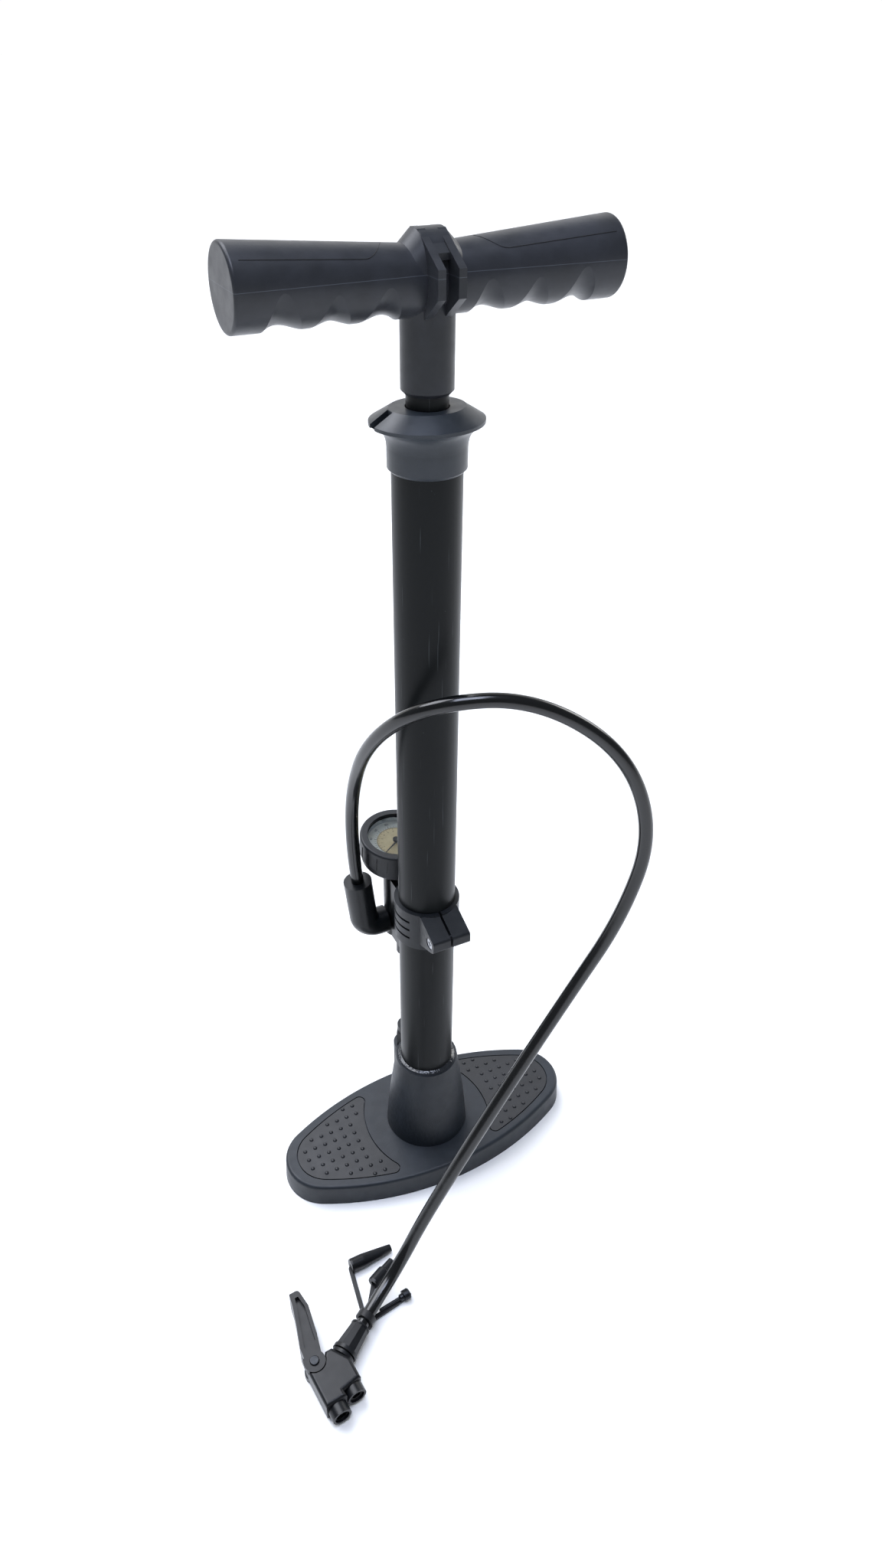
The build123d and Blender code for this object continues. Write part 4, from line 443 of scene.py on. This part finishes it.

# Each grip has a slightly raised top panel with a narrow step at its edge. The step's shadow line is painted
# shadow: a thin near-black tube laid along the grip's surface.
GRIP_CENTRE_Z = 634.8 * MM
GRIP_END_RADIUS = 19.5 * MM
GRIP_NECK_RADIUS = 15.75 * MM
GRIP_NECK_DROP = 4 * MM
GRIP_HALF_LENGTH = 100 * MM
EDGE_RADIUS = 0.22 * MM
EDGE_STEPS = 40
EDGE_OUTER_X = 95 * MM
EDGE_LENGTH = 71 * MM
EDGE_LIFT = 44
EDGE_RISE = 46
EDGE_RISE_START = 0.82
step_shadow = moulded("panel_edge_shadow", "060708", "0a0b0c", 0.6, 0.6 * MM, 0.01 * MM)
panel_edges = []
for side in (-1, 1):
    trail = []
    for count in range(EDGE_STEPS + 1):
        share = count / EDGE_STEPS
        along = EDGE_OUTER_X - EDGE_LENGTH * share
        risen = max(0, (share - EDGE_RISE_START) / (1 - EDGE_RISE_START))
        lift = radians(EDGE_LIFT + EDGE_RISE * risen**2)
        radius = GRIP_NECK_RADIUS + (GRIP_END_RADIUS - GRIP_NECK_RADIUS) * along / GRIP_HALF_LENGTH
        centre_z = GRIP_CENTRE_Z - GRIP_NECK_DROP * (1 - along / GRIP_HALF_LENGTH)
        trail.append((side * along, -radius * cos(lift), centre_z + radius * sin(lift)))
    bpy.ops.mesh.primitive_circle_add(vertices=6, radius=EDGE_RADIUS, location=trail[0],
                                      rotation=(0, pi / 2, 0))
    ring_piece = bpy.context.object
    bpy.ops.object.transform_apply(location=True, rotation=True, scale=True)
    bpy.ops.object.mode_set(mode="EDIT")
    bpy.ops.mesh.select_all(action="SELECT")
    bpy.ops.mesh.edge_face_add()
    for before, after in zip(trail, trail[1:]):
        bpy.ops.mesh.extrude_region_move(
            TRANSFORM_OT_translate={"value": [end - start for start, end in zip(before, after)]})
    bpy.ops.mesh.select_all(action="SELECT")
    bpy.ops.mesh.normals_make_consistent(inside=False)
    bpy.ops.object.mode_set(mode="OBJECT")
    panel_edges.append(ring_piece)
# The joined tubes are painted shadow along both panel edges.
panel_edge_painted_shadow = join_pieces(panel_edges, "panel_edge_painted_shadow")
panel_edge_painted_shadow.data.materials.append(step_shadow)
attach(panel_edge_painted_shadow, "plunger")

# ---------------------------------------------------------------- floor, light and camera
# A plain pale floor and a lit backdrop, with one large soft lamp above, one at the side and a wide sun from
# behind. None of this belongs to the pump.
BACKDROP_PLACE = (10, 20, 0)
BACKDROP_TURN = (radians(80), 0, radians(-26.5))
bpy.ops.object.select_all(action="DESELECT")
bpy.ops.mesh.primitive_plane_add(size=60, location=(0, 0, -0.0003))
floor = bpy.context.object
floor.name = "studio_floor"
pale, tree, shader, place = start_material("studio_floor_pale")
shader.inputs["Base Color"].default_value = linear("f4f4f2")
shader.inputs["Roughness"].default_value = 0.7
floor.data.materials.append(pale)
bpy.ops.mesh.primitive_plane_add(size=60, location=BACKDROP_PLACE, rotation=BACKDROP_TURN)
backdrop = bpy.context.object
backdrop.name = "studio_backdrop"
glow, tree, shader, place = start_material("studio_backdrop_lit")
shader.inputs["Base Color"].default_value = linear("000000")
shader.inputs["Emission Color"].default_value = linear("ffffff")
shader.inputs["Emission Strength"].default_value = 1.0
backdrop.data.materials.append(glow)
backdrop.visible_shadow = False

world = bpy.data.worlds.new("studio_air")
bpy.context.scene.world = world
world.use_nodes = True
air = world.node_tree.nodes["Background"]
air.inputs["Color"].default_value = linear("eef2f8")
air.inputs["Strength"].default_value = 0.22


def lamp(name, place, aim, size, power, colour):
    """A large square lamp that points at a place on the pump."""
    bpy.ops.object.light_add(type="AREA", location=place)
    made = bpy.context.object
    made.name = name
    made.data.size = size
    made.data.energy = power
    made.data.color = linear(colour)[:3]
    made.rotation_euler = (Vector(aim) - Vector(place)).to_track_quat("-Z", "Y").to_euler()


lamp("top_lamp", (-0.25, -0.5, 2.6), (0, 0, 0.3), 1.2, 46, "dde5fb")
lamp("side_lamp", (2.0, 0.5, 1.2), (0, 0, 0.35), 0.9, 12, "ffffff")
# A wide sun from behind lights the floor evenly, and gives faces that look up their soft bluish sheen.
bpy.ops.object.light_add(type="SUN", location=(0, 0, 4), rotation=(radians(-32), radians(-14), 0))
wash = bpy.context.object
wash.name = "floor_wash"
wash.data.energy = 3.9
wash.data.color = linear("f3f6ff")[:3]
wash.data.angle = radians(50)

CAMERA_PLACE = Vector((-240.96, -502.91, 735.08)) * MM
CAMERA_RIGHT = Vector((0.89751, -0.44090, 0.00861))
CAMERA_UP = Vector((0.24871, 0.52222, 0.81574))
CAMERA_BACK = Vector((-0.36416, -0.73000, 0.57835))
bpy.ops.object.camera_add(location=CAMERA_PLACE)
camera = bpy.context.object
turned = Matrix((CAMERA_RIGHT, CAMERA_UP, CAMERA_BACK)).transposed()
camera.rotation_euler = turned.to_euler()
camera.data.sensor_width = 36
camera.data.lens = 25.10
camera.data.clip_start = 0.01
bpy.context.scene.camera = camera
bpy.context.scene.view_settings.view_transform = "Standard"
